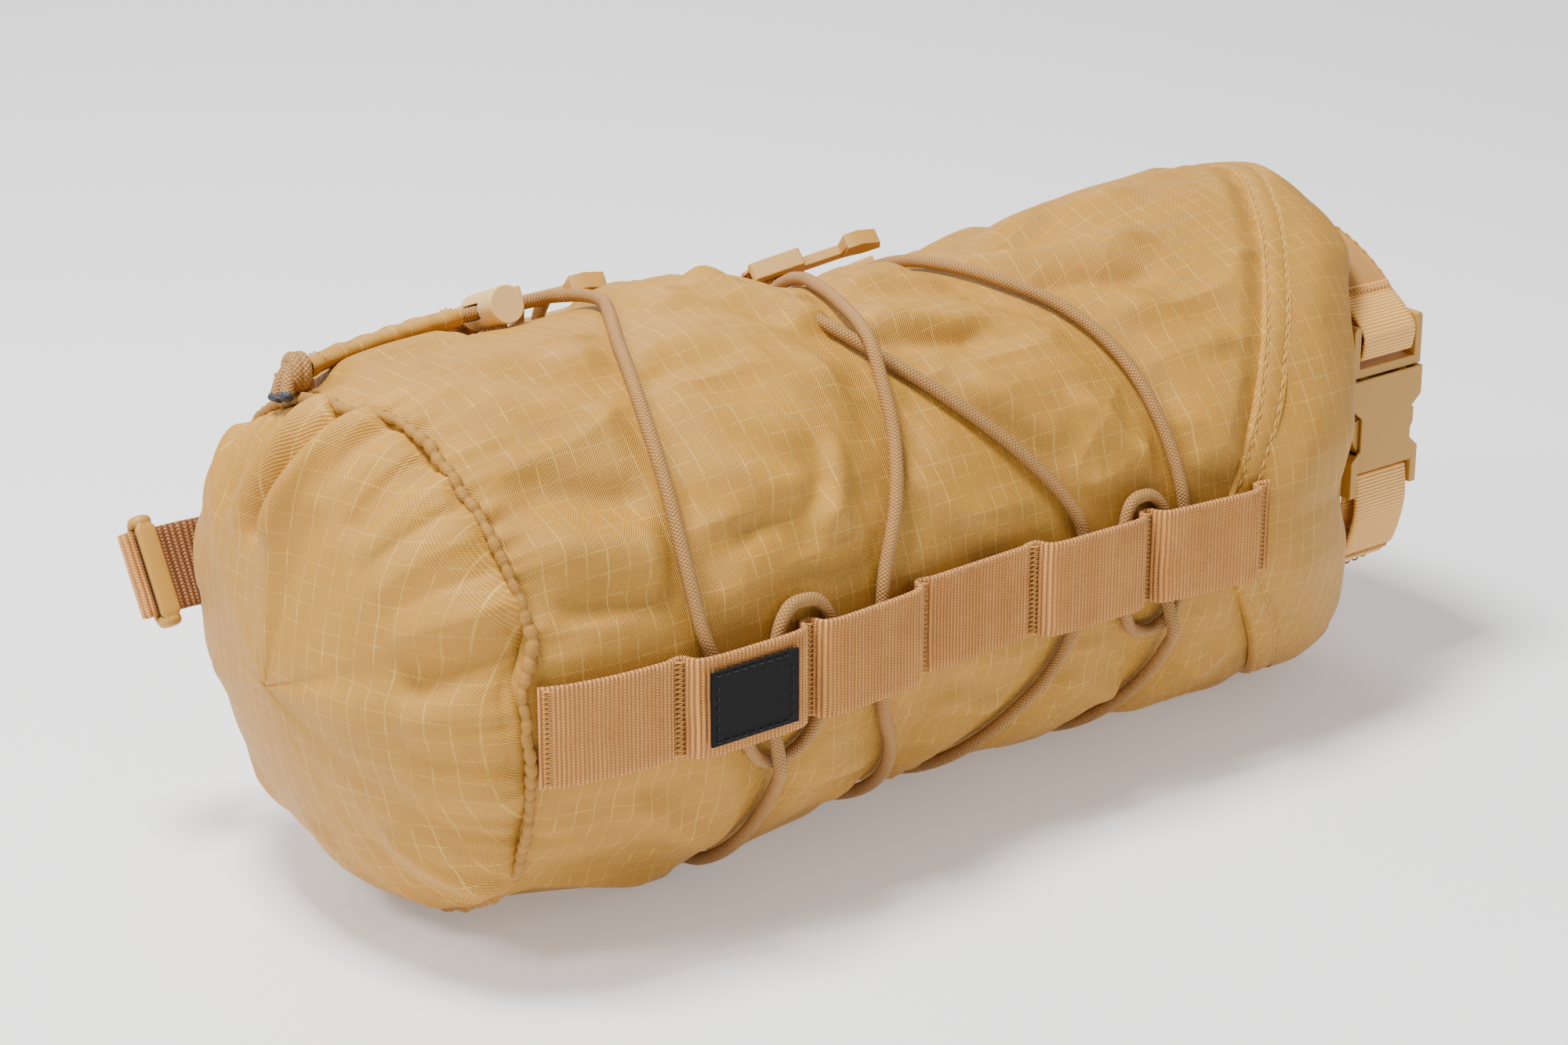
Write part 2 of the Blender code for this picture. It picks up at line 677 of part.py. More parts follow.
def make_attachment(side, spec):
    """A male buckle on a webbing tab, lying on the sack's upper back."""
    origin = world(*spec["bar"])
    along = Vector(spec["pointing"]).normalized()
    outward = Vector((0, spec["bar"][1], spec["bar"][2])).normalized()
    outward = (outward - along * outward.dot(along)).normalized()
    place = frame_at(origin, along.cross(outward), along)
    make_male("attachment_buckle_" + side, place)
    make_prong("attachment_prong_%s_a" % side, place, 1)
    make_prong("attachment_prong_%s_b" % side, place, -1)
    across = along.cross(outward)
    loop = [(-4.0, -2.5), (0.6, -2.5), (2.4, -1.2), (2.4, 1.2), (0.6, 2.5), (-3.0, 2.5), (-9.0, 1.6)]
    centres = [origin + (along * u + outward * v) * MM for u, v in loop]
    widths = [across] * len(centres)
    for x, angle, lift in spec["tab"]:
        turn = math.radians(angle)
        normal = Vector((0, -math.cos(turn), math.sin(turn)))
        centres.append(skin(x, angle, lift))
        widths.append(across - normal * across.dot(normal))
    ribbon("attachment_tab_" + side, centres, widths, TAB_WIDTH, "webbing", thickness=1.4)


# ---------------------------------------------------------------- shock cord and its fittings

def straight(x, angle, radius):
    """A route point at a fixed distance from the sack's axis."""
    return (x, angle, radius - body_radius(x, angle) - CORD_REST)


def lacing_route():
    """(x, angle, lift off the fabric) by hand, from the knot round the sack and back to the knot."""
    first, second = CORD_ANGLES
    low, high = STRAIGHT_SPAN
    run = LOCK_RADIUS_AT
    return [
        straight(7.0, first - 1, 71.2), straight(12.0, first, 72.4), straight(28, first, 74.0),
        straight(low, first, run), straight(60, first, run), straight(high, first, run),
        straight(77.5, first - 1.6, run - 0.4),
        (80.5, 106, 1.0), (79.0, 97, 0.3), (73.0, 88, 0), (64.5, 75, 0), (55.5, 55, 0), (50.0, 33, 0),
        (49.5, 17, 0), (51.5, 9, 0), (56.5, -2, 0), (61.5, -10, 0), (66.0, -16, 0), (73.0, -19, 0),
        (80.5, -17, 0), (85.5, -10, 0), (88.0, 0, 0), (88.0, 7.5, 0), (84.8, 12.8, 0), (80.0, 13.8, 0),
        (75.4, 13.2, 0), (71.2, 8.5, 0), (69.4, 0, 0), (69.8, -9, 0), (70.4, -13, 1.7), (71.6, -18.5, OVER_CORD),
        (74.2, -25, 1.6), (76.0, -36, 0), (76.0, -52, 0.4),
        (77.0, -75, 0.5), (80.5, -100, 0.5), (88.0, -124, 0.4), (97.0, -140, 0),
        (104.0, -155, OVER_PANEL), (107.0, -170, OVER_PANEL), (109.0, 175, OVER_PANEL),
        (111.0, 158, OVER_PANEL), (113.5, 140, 0), (115.5, 120, 0), (117.0, 100, 0), (121.0, 82, 0),
        (130.0, 64, 0), (143.0, 48, 0),
        (158.0, 32, 0), (169.0, 19, 0), (174.0, 9, 0), (174.0, -4, 0), (171.5, -14, 0), (167.0, -25, 0),
        (160.5, -36, 0), (154.5, -50, 0), (150.0, -70, 0), (148.5, -95, 0), (156.0, -120, 0),
        (168.0, -138, 0), (178.0, -154, OVER_PANEL), (182.0, -170, OVER_PANEL),
        (183.5, 175, OVER_PANEL), (183.5, 157, OVER_PANEL), (183.0, 138, 0), (182.0, 115, 0),
        (182.5, 94, 0), (188.0, 78, 0),
        (197.0, 63, 0), (203.0, 47, 0), (206.0, 30, 0), (207.5, 15, 0), (208.2, 4, 0), (208.0, -8, 0),
        (205.5, -16, 0), (199.5, -19.5, 0), (192.0, -17, 0), (188.0, -9, 0), (187.2, 0, 0), (187.6, 7.5, 0),
        (190.4, 12.6, 0), (194.4, 13.8, 0), (198.8, 12.8, 0), (202.0, 7, 0), (202.0, -1, 0), (202.0, -9, 0), (202.6, -13, 1.7),
        (204.3, -18.5, OVER_CORD), (206.3, -25, 1.6), (206.5, -36, 0), (203.0, -52, 0), (199.0, -75, 0),
        (195.0, -100, 0), (183.5, -122, 1.6), (169.0, -139, OVER_CORD), (164.0, -155, OVER_PANEL + 1),
        (163.0, -170, OVER_PANEL), (162.5, 175, OVER_PANEL), (161.0, 158, OVER_PANEL), (157.5, 140, 0),
        (152.5, 120, 0), (146.5, 103, 0), (140.5, 90, 0), (134.5, 75, 1.6), (129.5, 62.5, OVER_CORD),
        (126.0, 52, 1.6), (122.5, 41, 0), (115.0, 27, 0), (107.0, 15, 0), (104.5, 6, 0), (105.0, -6, 0),
        (108.0, -17, 0), (116.0, -30, 0), (122.5, -45, 0), (125.5, -62, 0), (125.0, -85, 0),
        (119.0, -108, 0), (109.0, -128, 2.0), (97.5, -141, OVER_CORD), (91.0, -156, OVER_PANEL + 1),
        (89.5, -171, OVER_PANEL), (89.0, 175, OVER_PANEL), (88.5, 160, OVER_PANEL), (88.0, 146, 0),
        (86.5, 134, 0), (82.5, 125, 1.0),
        straight(78.0, second + 2, run - 0.4), straight(high, second, run), straight(60, second, run),
        straight(low, second, run),
        straight(28, second, 74.0), straight(12.0, second + 0.2, 72.4), straight(7.0, second + 1.2, 71.2),
    ]


def make_lacing():
    fine = [skin(x, angle, CORD_REST + lift) for x, angle, lift in route_points()]
    return tube("lacing_cord", evenly_spaced(fine, CORD_STEP * MM), CORD_RADIUS, "cord")


def route_points():
    """The route as a smooth curve; its angles run on past 180 where it passes the back."""
    unwrapped = []
    for x, angle, lift in lacing_route():
        if unwrapped:
            angle -= 360 * round((angle - unwrapped[-1][1]) / 360)
        unwrapped.append((x, angle, lift))
    return catmull_rom(unwrapped, 6)


def make_knot():
    """The overhand knot that ties both cord ends together, and the two ends beyond it."""
    bm = bmesh.new()
    bmesh.ops.create_uvsphere(bm, u_segments=14, v_segments=8, radius=1.0)
    for vert in bm.verts:
        vert.co = Vector((vert.co.x * 5.4, vert.co.y * 5.6, vert.co.z * 4.6)) * MM
    mesh = bpy.data.meshes.new("cord_knot")
    bm.to_mesh(mesh)
    bm.free()
    smooth(mesh)
    centre = around(0.4, 110, 70.0)
    add_part("cord_knot", mesh, "cord", Matrix.Translation(centre))
    for name, (angle, x) in {"cord_end_a": (95, 1.8), "cord_end_b": (98, -6.5)}.items():
        start = centre + (around(x, angle, 70.5) - centre).normalized() * 6.3 * MM
        end = start + (around(x, angle - 4, 66.0) - start).normalized() * 6.5 * MM
        tube(name, [start, start.lerp(end, 0.5), end], CORD_RADIUS, "cord")


def make_sleeve():
    """The fabric tunnel that the two cords share between the knot and the cord lock."""
    middle = sum(CORD_ANGLES) / 2
    rings = []
    for x, radius in [(13.5, 72.7), (20, 73.4), (28, 74.05), (38, 74.55), (48, 74.95)]:
        ring = []
        for k in range(14):
            turn = math.tau * k / 14
            angle = middle + math.degrees(5.1 * math.cos(turn) / radius)
            ring.append(around(x, angle, radius + 2.95 * math.sin(turn)))
        rings.append(ring)
    shell("cord_sleeve", rings, "ripstop", 0.6, around(28, middle, 74.0))


LOCK_LENGTH = 15.6
PLUNGER = (6.2, 18.4)


def lock_frame():
    """The lock's frame: local Z runs down its barrel from the blind end, local X along the sack."""
    turn = math.radians(LOCK_ANGLE)
    down = Vector((0, math.sin(turn), math.cos(turn)))
    first = around(LOCK_X, CORD_ANGLES[0], LOCK_RADIUS_AT)
    second = around(LOCK_X, CORD_ANGLES[1], LOCK_RADIUS_AT)
    middle = (first + second) / 2
    return frame_at(middle - down * 10.6 * MM, Vector((1, 0, 0)), down.cross(Vector((1, 0, 0))))


def make_cord_lock():
    place = lock_frame()
    barrel = cone_mesh("cord_lock_body", 4.9, 4.6, 0, LOCK_LENGTH, 24)
    body = add_part("cord_lock_body", barrel, "plastic", place)
    cavity = cone_mesh("lock_cavity", 3.45, 3.45, 1.4, LOCK_LENGTH + 2)
    boolean(body, add_cutter("lock_cavity", cavity, place), "DIFFERENCE")
    hole = box_mesh("lock_hole", (-8, -1.95, 6.9), (8, 1.95, 14.3))
    boolean(body, add_cutter("lock_hole", hole, place), "DIFFERENCE")
    plunger = cone_mesh("cord_lock_button", 3.15, 3.15, *PLUNGER)
    button = add_part("cord_lock_button", plunger, "plastic", place)
    slot = box_mesh("button_slot", (-8, -1.95, 6.9), (8, 1.95, 16.8))
    boolean(button, add_cutter("button_slot", slot, place), "DIFFERENCE")
    turns, per_turn = 2.5, 10
    coil = []
    for i in range(int(turns * per_turn) + 1):
        turn = math.tau * i / per_turn
        rise = 1.4 + 0.55 + 1.1 * i / (turns * per_turn)
        coil.append(place @ (Vector((2.4 * math.cos(turn), 2.4 * math.sin(turn), rise)) * MM))
    tube("cord_lock_spring", coil, 0.2, "steel", resolution=1)


# ---------------------------------------------------------------- build

clear_scene()
PARTS = new_collection("stuff_sack")
CUTTERS = new_collection("cutters")

make_contents()
make_body()
make_end_cap()
make_seam_binding()
make_hem_band()
make_collar()
make_roll()
make_front_webbing()
make_label()
make_rear_panel()
make_rear_webbing()
make_rear_strap()
make_slider()
make_closure()
for side_name, side_spec in ATTACHMENTS.items():
    make_attachment(side_name, side_spec)
make_lacing()
make_knot()
make_sleeve()
make_cord_lock()
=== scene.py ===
"""Looks of the stuff sack: wrinkled ripstop, webbing, shock cord and moulded buckles on the CAD frame.

Shapes are worked out in millimetres in the sack's own frame, as in the part's source: X runs from the
cap seam to the rolled mouth, -Y is the front, Z is up and the long axis is at Y = Z = 0. Angles go
round the sack: 0 is the front, 90 the top, 180 the back.
"""
import math

import bpy
import bmesh
import numpy as np
from mathutils import Matrix, Vector
from mathutils.kdtree import KDTree

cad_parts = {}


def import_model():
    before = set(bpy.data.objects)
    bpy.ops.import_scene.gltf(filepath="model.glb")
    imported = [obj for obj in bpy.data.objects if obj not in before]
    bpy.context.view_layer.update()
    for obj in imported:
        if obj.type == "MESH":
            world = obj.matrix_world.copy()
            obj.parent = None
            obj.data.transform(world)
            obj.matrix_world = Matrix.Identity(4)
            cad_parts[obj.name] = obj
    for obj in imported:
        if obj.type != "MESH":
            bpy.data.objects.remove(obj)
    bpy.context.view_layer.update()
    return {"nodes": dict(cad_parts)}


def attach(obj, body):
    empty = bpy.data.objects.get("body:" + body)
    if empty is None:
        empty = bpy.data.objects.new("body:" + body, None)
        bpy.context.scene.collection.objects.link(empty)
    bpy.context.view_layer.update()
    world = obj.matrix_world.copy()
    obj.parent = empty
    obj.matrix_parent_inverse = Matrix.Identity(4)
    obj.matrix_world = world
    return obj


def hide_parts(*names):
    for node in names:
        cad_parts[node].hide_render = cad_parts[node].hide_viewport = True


MM = 0.001

# The sack's frame in the world
SEAM_X = -143.0
AXIS_Y = -2.7
REST_DEPTH = 68.4

# Body fabric: radius on the upper back and on the lower front, station by station
UPPER_RADII = [(-30, 62), (-5, 63.2), (3, 65.5), (15, 69), (30, 70.2), (60, 70), (85, 70.6),
               (108, 69.2), (127, 66), (148, 63.7), (165, 62.3), (190, 62), (204, 62.4),
               (221, 64.8), (245, 67.4), (266, 69.6), (285, 70.6), (310, 69.5)]
LOWER_RADII = [(-30, 60), (-5, 61), (3, 62.5), (15, 65.5), (38, 68.9), (55, 69.8), (80, 69),
               (110, 66.7), (139, 64.8), (158, 65.2), (184, 65.8), (201, 66.6), (230, 69),
               (254, 70.8), (280, 70.6), (310, 69)]
UPPER_ANGLE = 117
LACED_DEPTH = 63.9
LACED_SPAN = (52, 228)
LACED_RAMP = 14
BASE_EDGE = 1.5
MAP_RADIUS = 67
RING_COLUMNS = 640
SEAM_TILT = 7.0
SEAM_FORWARD = 6.3
HEM_LINE = [(0, 219), (15, 229), (45, 252), (75, 277), (95, 291), (120, 296), (180, 297)]
HEM_WIDTH = 9.0
RIM_LINE = [(0, 268), (45, 288), (60, 299), (90, 304), (180, 303)]
GAP = 0.3
GRID_PITCH = 4.9

# Webbing and cord
WEB_WIDTH = 25.4
WEB_THICK = 1.6
TAB_WIDTH = 20.0
TACKS = [42.0 + 38.1 * i for i in range(6)]
CORD_RADIUS = 1.7
CORD_REST = CORD_RADIUS + 0.5
OVER_PANEL = 1.8
OVER_CORD = 3.9
LOCK_ANGLE = 112.0
LOCK_RADIUS_AT = 75.0
CORD_ANGLES = (111.85, 114.65)
STRAIGHT_SPAN = (49.5, 74.0)

# Strap end and its slider
STRAP_TILT = np.array([0, 0.5, 0.866])
STRAP_FLAT = np.array([0, -0.866, 0.5])
STRAP_WIDTH = 22.0
SLIDER_AT = (-15.9, 71.6, 4.2)

# Rolled mouth and its buckle
ROLL_X = (293.0, 317.0)
ROLL_RADII = (44.5, 53.5)
ROLL_CENTRE_Z = 3.5
ROLL_ANGLES = (45.0, 325.0)
CLOSURE_X = 303.5
CLOSURE_Y = -44.5
CLOSURE_BAR_Z = 30.0

# Camera, in the world, in metres
CAMERA_AT = Vector((-0.5667, -0.7050, 0.4098))
CAMERA_RIGHT = Vector((0.7859, -0.6184, 0.0))
CAMERA_UP = Vector((0.2180, 0.2770, 0.9358))
CAMERA_LENS = 84.47

ALONG = np.array([1.0, 0, 0])
UP = np.array([0, 0, 1.0])


# ---- the sack's surface

def smooth_curve(stations, x):
    """A smooth curve through (position, value) stations, for one position or many."""
    where, value = np.array(stations, float).T
    x = np.clip(np.asarray(x, float), where[0], where[-1])
    last = len(where) - 1
    i = np.clip(np.searchsorted(where, x, side="right") - 1, 0, last - 1)
    low, high = np.clip(np.arange(last + 1) - 1, 0, last), np.clip(np.arange(last + 1) + 1, 0, last)
    slope = (value[high] - value[low]) / (where[high] - where[low])
    span = where[i + 1] - where[i]
    t = (x - where[i]) / span
    return ((2 * t**3 - 3 * t**2 + 1) * value[i] + (t**3 - 2 * t**2 + t) * span * slope[i]
            + (3 * t**2 - 2 * t**3) * value[i + 1] + (t**3 - t**2) * span * slope[i + 1])


def squared(value, power):
    """A cosine or sine drawn out towards a square's."""
    return np.sign(value) * np.abs(value) ** power


def ease(t):
    t = np.clip(t, 0.0, 1.0)
    return t * t * (3 - 2 * t)


def stacked(*parts):
    """Numbers or arrays side by side, as the columns of one array."""
    return np.stack(np.broadcast_arrays(*parts), axis=-1)


def world(x, y, z):
    """Metres in the world, for numbers or arrays in the sack's frame."""
    return stacked(SEAM_X + x, AXIS_Y + y, REST_DEPTH + z) * MM


def body_radius(x, angle):
    upper, lower = smooth_curve(UPPER_RADII, x), smooth_curve(LOWER_RADII, x)
    return (upper + lower) / 2 + (upper - lower) / 2 * np.cos(np.radians(angle - UPPER_ANGLE))


def base_depth(x):
    into = np.minimum(x - LACED_SPAN[0], LACED_SPAN[1] - x) / LACED_RAMP
    return REST_DEPTH + (LACED_DEPTH - REST_DEPTH) * ease(into)


def around(x, angle, radius, depth=1000.0):
    """Points at a radius round the axis, resting on a flat base at that depth with soft edges."""
    turn = np.radians(angle)
    above = (radius * np.sin(turn) + depth) / BASE_EDGE
    z = -depth + BASE_EDGE * np.where(above > 20, above, np.log1p(np.exp(np.minimum(above, 20))))
    return world(x, -radius * np.cos(turn), z)


def skin(x, angle, outward=0.0):
    return around(x, angle, body_radius(x, angle) + outward, base_depth(x) + outward)


def fold(angle):
    """Degrees away from the front, 0 to 180."""
    return np.abs((np.asarray(angle) + 180) % 360 - 180)


def seam_x(angle):
    """Where the round end is sewn on; it reaches further along the upper front."""
    turn = (np.asarray(angle) + 180) % 360 - 180
    forward = ease((turn - 8) / 14) * ease((91 - turn) / 17)
    return 4.5 - SEAM_TILT * np.sin(np.radians(angle)) + SEAM_FORWARD * forward


def hem_x(angle):
    return smooth_curve(HEM_LINE, fold(angle))


# ---- noise and wrinkles

def noise(x, y, z, seed):
    """Smooth noise from -1 to 1, one unit across a cell."""
    points = stacked(x, y, z)
    cell = np.floor(points).astype(np.int64)
    part = points - cell
    part = part * part * (3 - 2 * part)
    total = np.zeros(points.shape[:-1])
    for corner in range(8):
        step = np.array([corner & 1, corner >> 1 & 1, corner >> 2 & 1])
        keys = (cell + step) * [73856093, 19349663, 83492791]
        mixed = keys[..., 0] ^ keys[..., 1] ^ keys[..., 2] ^ (seed * 2654435)
        mixed = ((mixed & 0xFFFFFFFF) * 1274126177) & 0xFFFFFFFF
        mixed = ((mixed ^ (mixed >> 15)) * 2246822519) & 0xFFFFFFFF
        value = ((mixed ^ (mixed >> 13)) & 0xFFFF) / 32767.5 - 1
        total += value * np.prod(np.where(step == 1, part, 1 - part), axis=-1)
    return total


def ring_noise(x, angle, across, along, seed):
    """Noise on the sack's side whose cells are that many mm round the sack and along it."""
    turn = np.radians(angle)
    radius = 66.0 / across
    return noise(x / along, radius * np.cos(turn) + 40, radius * np.sin(turn) + 40, seed)


def creases(x, angle, lines):
    """Height of listed folds: (x, angle) to (x, angle), half width and height in mm."""
    total = np.zeros(np.broadcast(x, angle).shape)
    for x0, a0, x1, a1, width, height in lines:
        scale = 66 * math.pi / 180
        dx, ds = x1 - x0, (a1 - a0) * scale
        length = math.hypot(dx, ds)
        off = (np.asarray(angle) - a0 + 180) % 360 - 180
        px, ps = x - x0, off * scale
        along = (px * dx + ps * ds) / length**2
        side = (px * ds - ps * dx) / length + 0.12 * width * np.sin(along * 7)
        body = (1 - 0.9 * (side / width) ** 2) * np.exp(-(side / width) ** 2)
        ends = ease(np.minimum(along, 1 - along) * 3.2 + 0.25) * (np.abs(along - 0.5) < 0.62)
        total += height * body * ends
    return total


# ---- mesh builders

def add_object(name, data):
    obj = bpy.data.objects.new(name, data)
    bpy.context.scene.collection.objects.link(obj)
    return obj


def show(mesh, material, slot, *nodes, body="sack"):
    """The mesh as a visible piece: it rides on a CAD body and stands for CAD nodes."""
    obj = add_object(mesh.name, mesh)
    mesh.materials.append(material)
    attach(obj, body)
    if nodes:
        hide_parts(*nodes)
    return obj


def closed(columns):
    """Columns with the first one repeated at the end."""
    return np.concatenate([columns, columns[:, :1]], axis=1)


def cells(index, way):
    """The corners of each cell in a grid of indices, in one turning sense or the other."""
    corners = [index[:-1, :-1], index[:-1, 1:], index[1:, 1:], index[1:, :-1]]
    return np.stack(corners, axis=-1).reshape(-1, 4)[:, ::way]


def grid_mesh(name, points, uv=None, wrap=False, flip=False, caps=False):
    """A smooth mesh on a grid of points, rows by columns, with a map in millimetres."""
    way = -1 if flip else 1
    index = np.arange(points.size // 3).reshape(points.shape[:2])
    faces = cells(closed(index) if wrap else index, way).tolist()
    if caps:
        faces += [index[0, ::-way].tolist(), index[-1, ::way].tolist()]
    mesh = bpy.data.meshes.new(name)
    mesh.from_pydata(points.reshape(-1, 3).tolist(), [], faces)
    if uv is not None:
        corners = cells(np.arange(uv.size // 2).reshape(uv.shape[:2]), way).ravel()
        values = np.zeros((len(mesh.loops), 2), np.float32)
        values[:len(corners)] = uv.reshape(-1, 2)[corners]
        mesh.uv_layers.new(name="map").data.foreach_set("uv", values.ravel())
    mesh.shade_smooth()
    if caps:
        mesh.set_sharp_from_angle(angle=math.radians(50))
    mesh.update()
    return mesh


def unit(v):
    return v / np.maximum(np.linalg.norm(v, axis=-1, keepdims=True), 1e-12)


def grid_normals(points):
    return unit(np.cross(np.gradient(points, axis=0), np.gradient(points, axis=1)))


def catmull_rom(points, steps):
    """Points along a smooth curve through the given rows."""
    points = np.array(points, float)
    padded = np.concatenate([points[:1], points, points[-1:]])
    t = (np.arange(steps) / steps)[:, None]
    out = []
    for a, b, c, d in zip(padded, padded[1:], padded[2:], padded[3:]):
        square, cube = 2 * a - 5 * b + 4 * c - d, 3 * b - a - 3 * c + d
        out.append(0.5 * (2 * b + (c - a) * t + square * t**2 + cube * t**3))
    return np.concatenate(out + [points[-1:]])


def walked(points):
    """How far along a line each of its points is."""
    return np.concatenate([[0], np.cumsum(np.linalg.norm(np.diff(points, axis=0), axis=1))])


def resample(points, step, *others):
    """Rows at an even step along a line, with other per-point rows carried along."""
    far = walked(points)
    at = np.linspace(0, far[-1], max(2, round(far[-1] / step)) + 1)
    rows = [[np.interp(at, far, column) for column in np.transpose(o)] for o in (points, *others)]
    return [np.stack(columns, axis=1) for columns in rows] + [at]


def line_frames(points):
    """Two side directions that turn as little as they can along a line."""
    tangent = unit(np.gradient(points, axis=0))
    side = np.cross(tangent[0], [0.0, 0.0, 1.0])
    if np.linalg.norm(side) < 0.1:
        side = np.cross(tangent[0], [0.0, 1.0, 0.0])
    sides = []
    for t in tangent:
        side = side - t * np.dot(side, t)
        side = side / np.linalg.norm(side)
        sides.append(side)
    sides = np.array(sides)
    return sides, np.cross(tangent, sides)


def tube_mesh(name, points, radius, sides=12):
    """A round tube in metres; its map is millimetres along and round."""
    a, b = line_frames(points)
    radius = np.broadcast_to(radius, len(points))
    turn = math.tau * np.arange(sides) / sides
    ring = a[:, None] * np.cos(turn)[:, None] + b[:, None] * np.sin(turn)[:, None]
    grid = points[:, None] + ring * radius[:, None, None]
    around_mm = np.arange(sides + 1) / sides * math.tau * float(radius.mean()) / MM
    uv = stacked(walked(points)[:, None] / MM, around_mm)
    return grid_mesh(name, grid, uv, wrap=True, flip=True, caps=True)


def strap_mesh(name, centres, across, width, thickness, step=0.8, edge=0.35, rib=0.0, rib_pitch=1.1):
    """A woven strap: its map is millimetres along and across, 0 at its middle."""
    centres, across, at = resample(centres, step * MM, np.broadcast_to(across, np.shape(centres)))
    tangent = unit(np.gradient(centres, axis=0))
    across = unit(across - tangent * np.sum(across * tangent, axis=1, keepdims=True))
    normal = np.cross(tangent, across)
    half, thick = width / 2, thickness / 2
    columns = np.linspace(-half + edge, half - edge, 12)
    section = [(c, thick) for c in columns] + [(half - 0.05, thick * 0.45), (half - 0.05, -thick * 0.45)]
    section = np.array(section + [(-c, -t) for c, t in section])
    ribs = np.abs(np.sin(np.pi * at / MM / rib_pitch)) - 1
    bulge = 1 + rib * ribs[:, None, None] / thick
    grid = (centres[:, None] + across[:, None] * section[None, :, :1] * MM
            + normal[:, None] * section[None, :, 1:] * MM * bulge)
    ring = np.concatenate([section[:, 0], section[:1, 0]])
    uv = stacked(at[:, None] / MM, ring)
    return grid_mesh(name, grid, uv, wrap=True, caps=True)


def join_meshes(name, meshes):
    """Several meshes as one."""
    bm = bmesh.new()
    for mesh in meshes:
        bm.from_mesh(mesh)
    joined = bpy.data.meshes.new(name)
    bm.to_mesh(joined)
    bm.free()
    for mesh in meshes:
        bpy.data.meshes.remove(mesh)
    joined.shade_smooth()
    return joined


def dashes(line, normal, length=2.9, gap=0.8, radius=0.32, sink=0.1):
    """A row of thread stitches along a line of points, each dipping into the cloth at its ends."""
    line, normal, at = resample(line, 0.25 * MM, np.broadcast_to(normal, np.shape(line)))
    per, pitch = round(length / 0.25), round((length + gap) / 0.25)
    meshes = []
    for start in range(0, len(at) - per, pitch):
        piece = line[start:start + per + 1:2]
        rise = np.sin(np.linspace(0, math.pi, len(piece)))[:, None] * (radius + sink) - sink
        piece = piece + unit(normal[start:start + per + 1:2]) * rise * MM
        swell = radius * (0.45 + 0.55 * np.sin(np.linspace(0.15, math.pi - 0.15, len(piece)))) * MM
        meshes.append(tube_mesh("dash", piece, swell, sides=6))
    return join_meshes("dashes", meshes)


def zigzag(centre, along, across, normal, length, width=2.8, pitch=0.62, radius=0.26):
    """A bartack: thread going back and forth across a line of that length."""
    count = max(4, round(length / pitch))
    points = []
    for k in range(count + 1):
        shift = (-1) ** k * width / 2
        place = centre + across * (k / count - 0.5) * length * MM + along * shift * MM
        points.append(place + normal * 0.1 * MM)
    points = np.array(points)
    middle = (points[1:] + points[:-1]) / 2 + normal * 0.42 * MM
    woven = np.empty((len(points) + len(middle), 3))
    woven[0::2], woven[1::2] = points, middle
    return tube_mesh("tack", woven, radius * MM, sides=6)


# ---- materials

class Graph:
    """Short names for wiring up a material's nodes."""

    def __init__(self, name, roughness=0.6, sheen=0.0, specular=0.5):
        self.material = bpy.data.materials.new(name)
        self.material.use_nodes = True
        self.tree = self.material.node_tree
        self.shader = self.tree.nodes["Principled BSDF"]
        self.set("Roughness", roughness)
        self.set("Sheen Weight", sheen)
        self.set("Specular IOR Level", specular)

    def set(self, name, value):
        self.put(self.shader.inputs[name], value)

    def put(self, socket, value):
        if isinstance(value, bpy.types.NodeSocket):
            self.tree.links.new(value, socket)
        elif isinstance(value, tuple) and len(value) == 3 and socket.type == "RGBA":
            socket.default_value = (*value, 1.0)
        else:
            socket.default_value = value

    def add(self, kind, inputs, output=0, **settings):
        node = self.tree.nodes.new("ShaderNode" + kind)
        for key, value in settings.items():
            setattr(node, key, value)
        for key, value in inputs.items():
            self.put(node.inputs[key], value)
        return node.outputs[output]

    def math(self, operation, a, b=0.0, c=0.0):
        return self.add("Math", {0: a, 1: b, 2: c}, operation=operation)

    def mul(self, a, b):
        return self.math("MULTIPLY", a, b)

    def fma(self, a, b, c):
        """a times b, plus c."""
        return self.math("MULTIPLY_ADD", a, b, c)

    def uv(self):
        split = self.tree.nodes.new("ShaderNodeSeparateXYZ")
        coordinate = self.tree.nodes.new("ShaderNodeTexCoord")
        self.tree.links.new(coordinate.outputs["UV"], split.inputs[0])
        return split.outputs[0], split.outputs[1], coordinate.outputs["UV"]

    def place(self):
        return self.add("TexCoord", {}, "Object")

    def noise(self, vector, scale, detail=2.0, roughness=0.5):
        return self.add("TexNoise", {"Vector": vector, "Scale": scale, "Detail": detail,
                                     "Roughness": roughness}, output="Fac")

    def wave(self, value, pitch, phase=0.0):
        """A smooth wave of the value, from 0 to 1 and back in one pitch."""
        turned = self.fma(value, math.tau / pitch, phase)
        return self.fma(self.math("SINE", turned), 0.5, 0.5)

    def ramp(self, value, low, high, start, end):
        """From start to end as the value goes from low to high."""
        return self.add("MapRange", {0: value, 1: low, 2: high, 3: start, 4: end})

    def line(self, value, pitch, width):
        """1 on thin lines one pitch apart, 0 between them."""
        return self.ramp(self.math("PINGPONG", value, pitch / 2), width * 0.25, width * 0.75, 1.0, 0.0)

    def mix(self, share, a, b):
        return self.add("Mix", {0: share, 6: a, 7: b}, output=2, data_type="RGBA")

    def finish(self, colour, height=None, depth=0.3, strength=1.0):
        self.set("Base Color", colour)
        if height is not None:
            bump = self.add("Bump", {"Strength": strength, "Distance": depth * MM, "Height": height})
            self.set("Normal", bump)
        return self.material


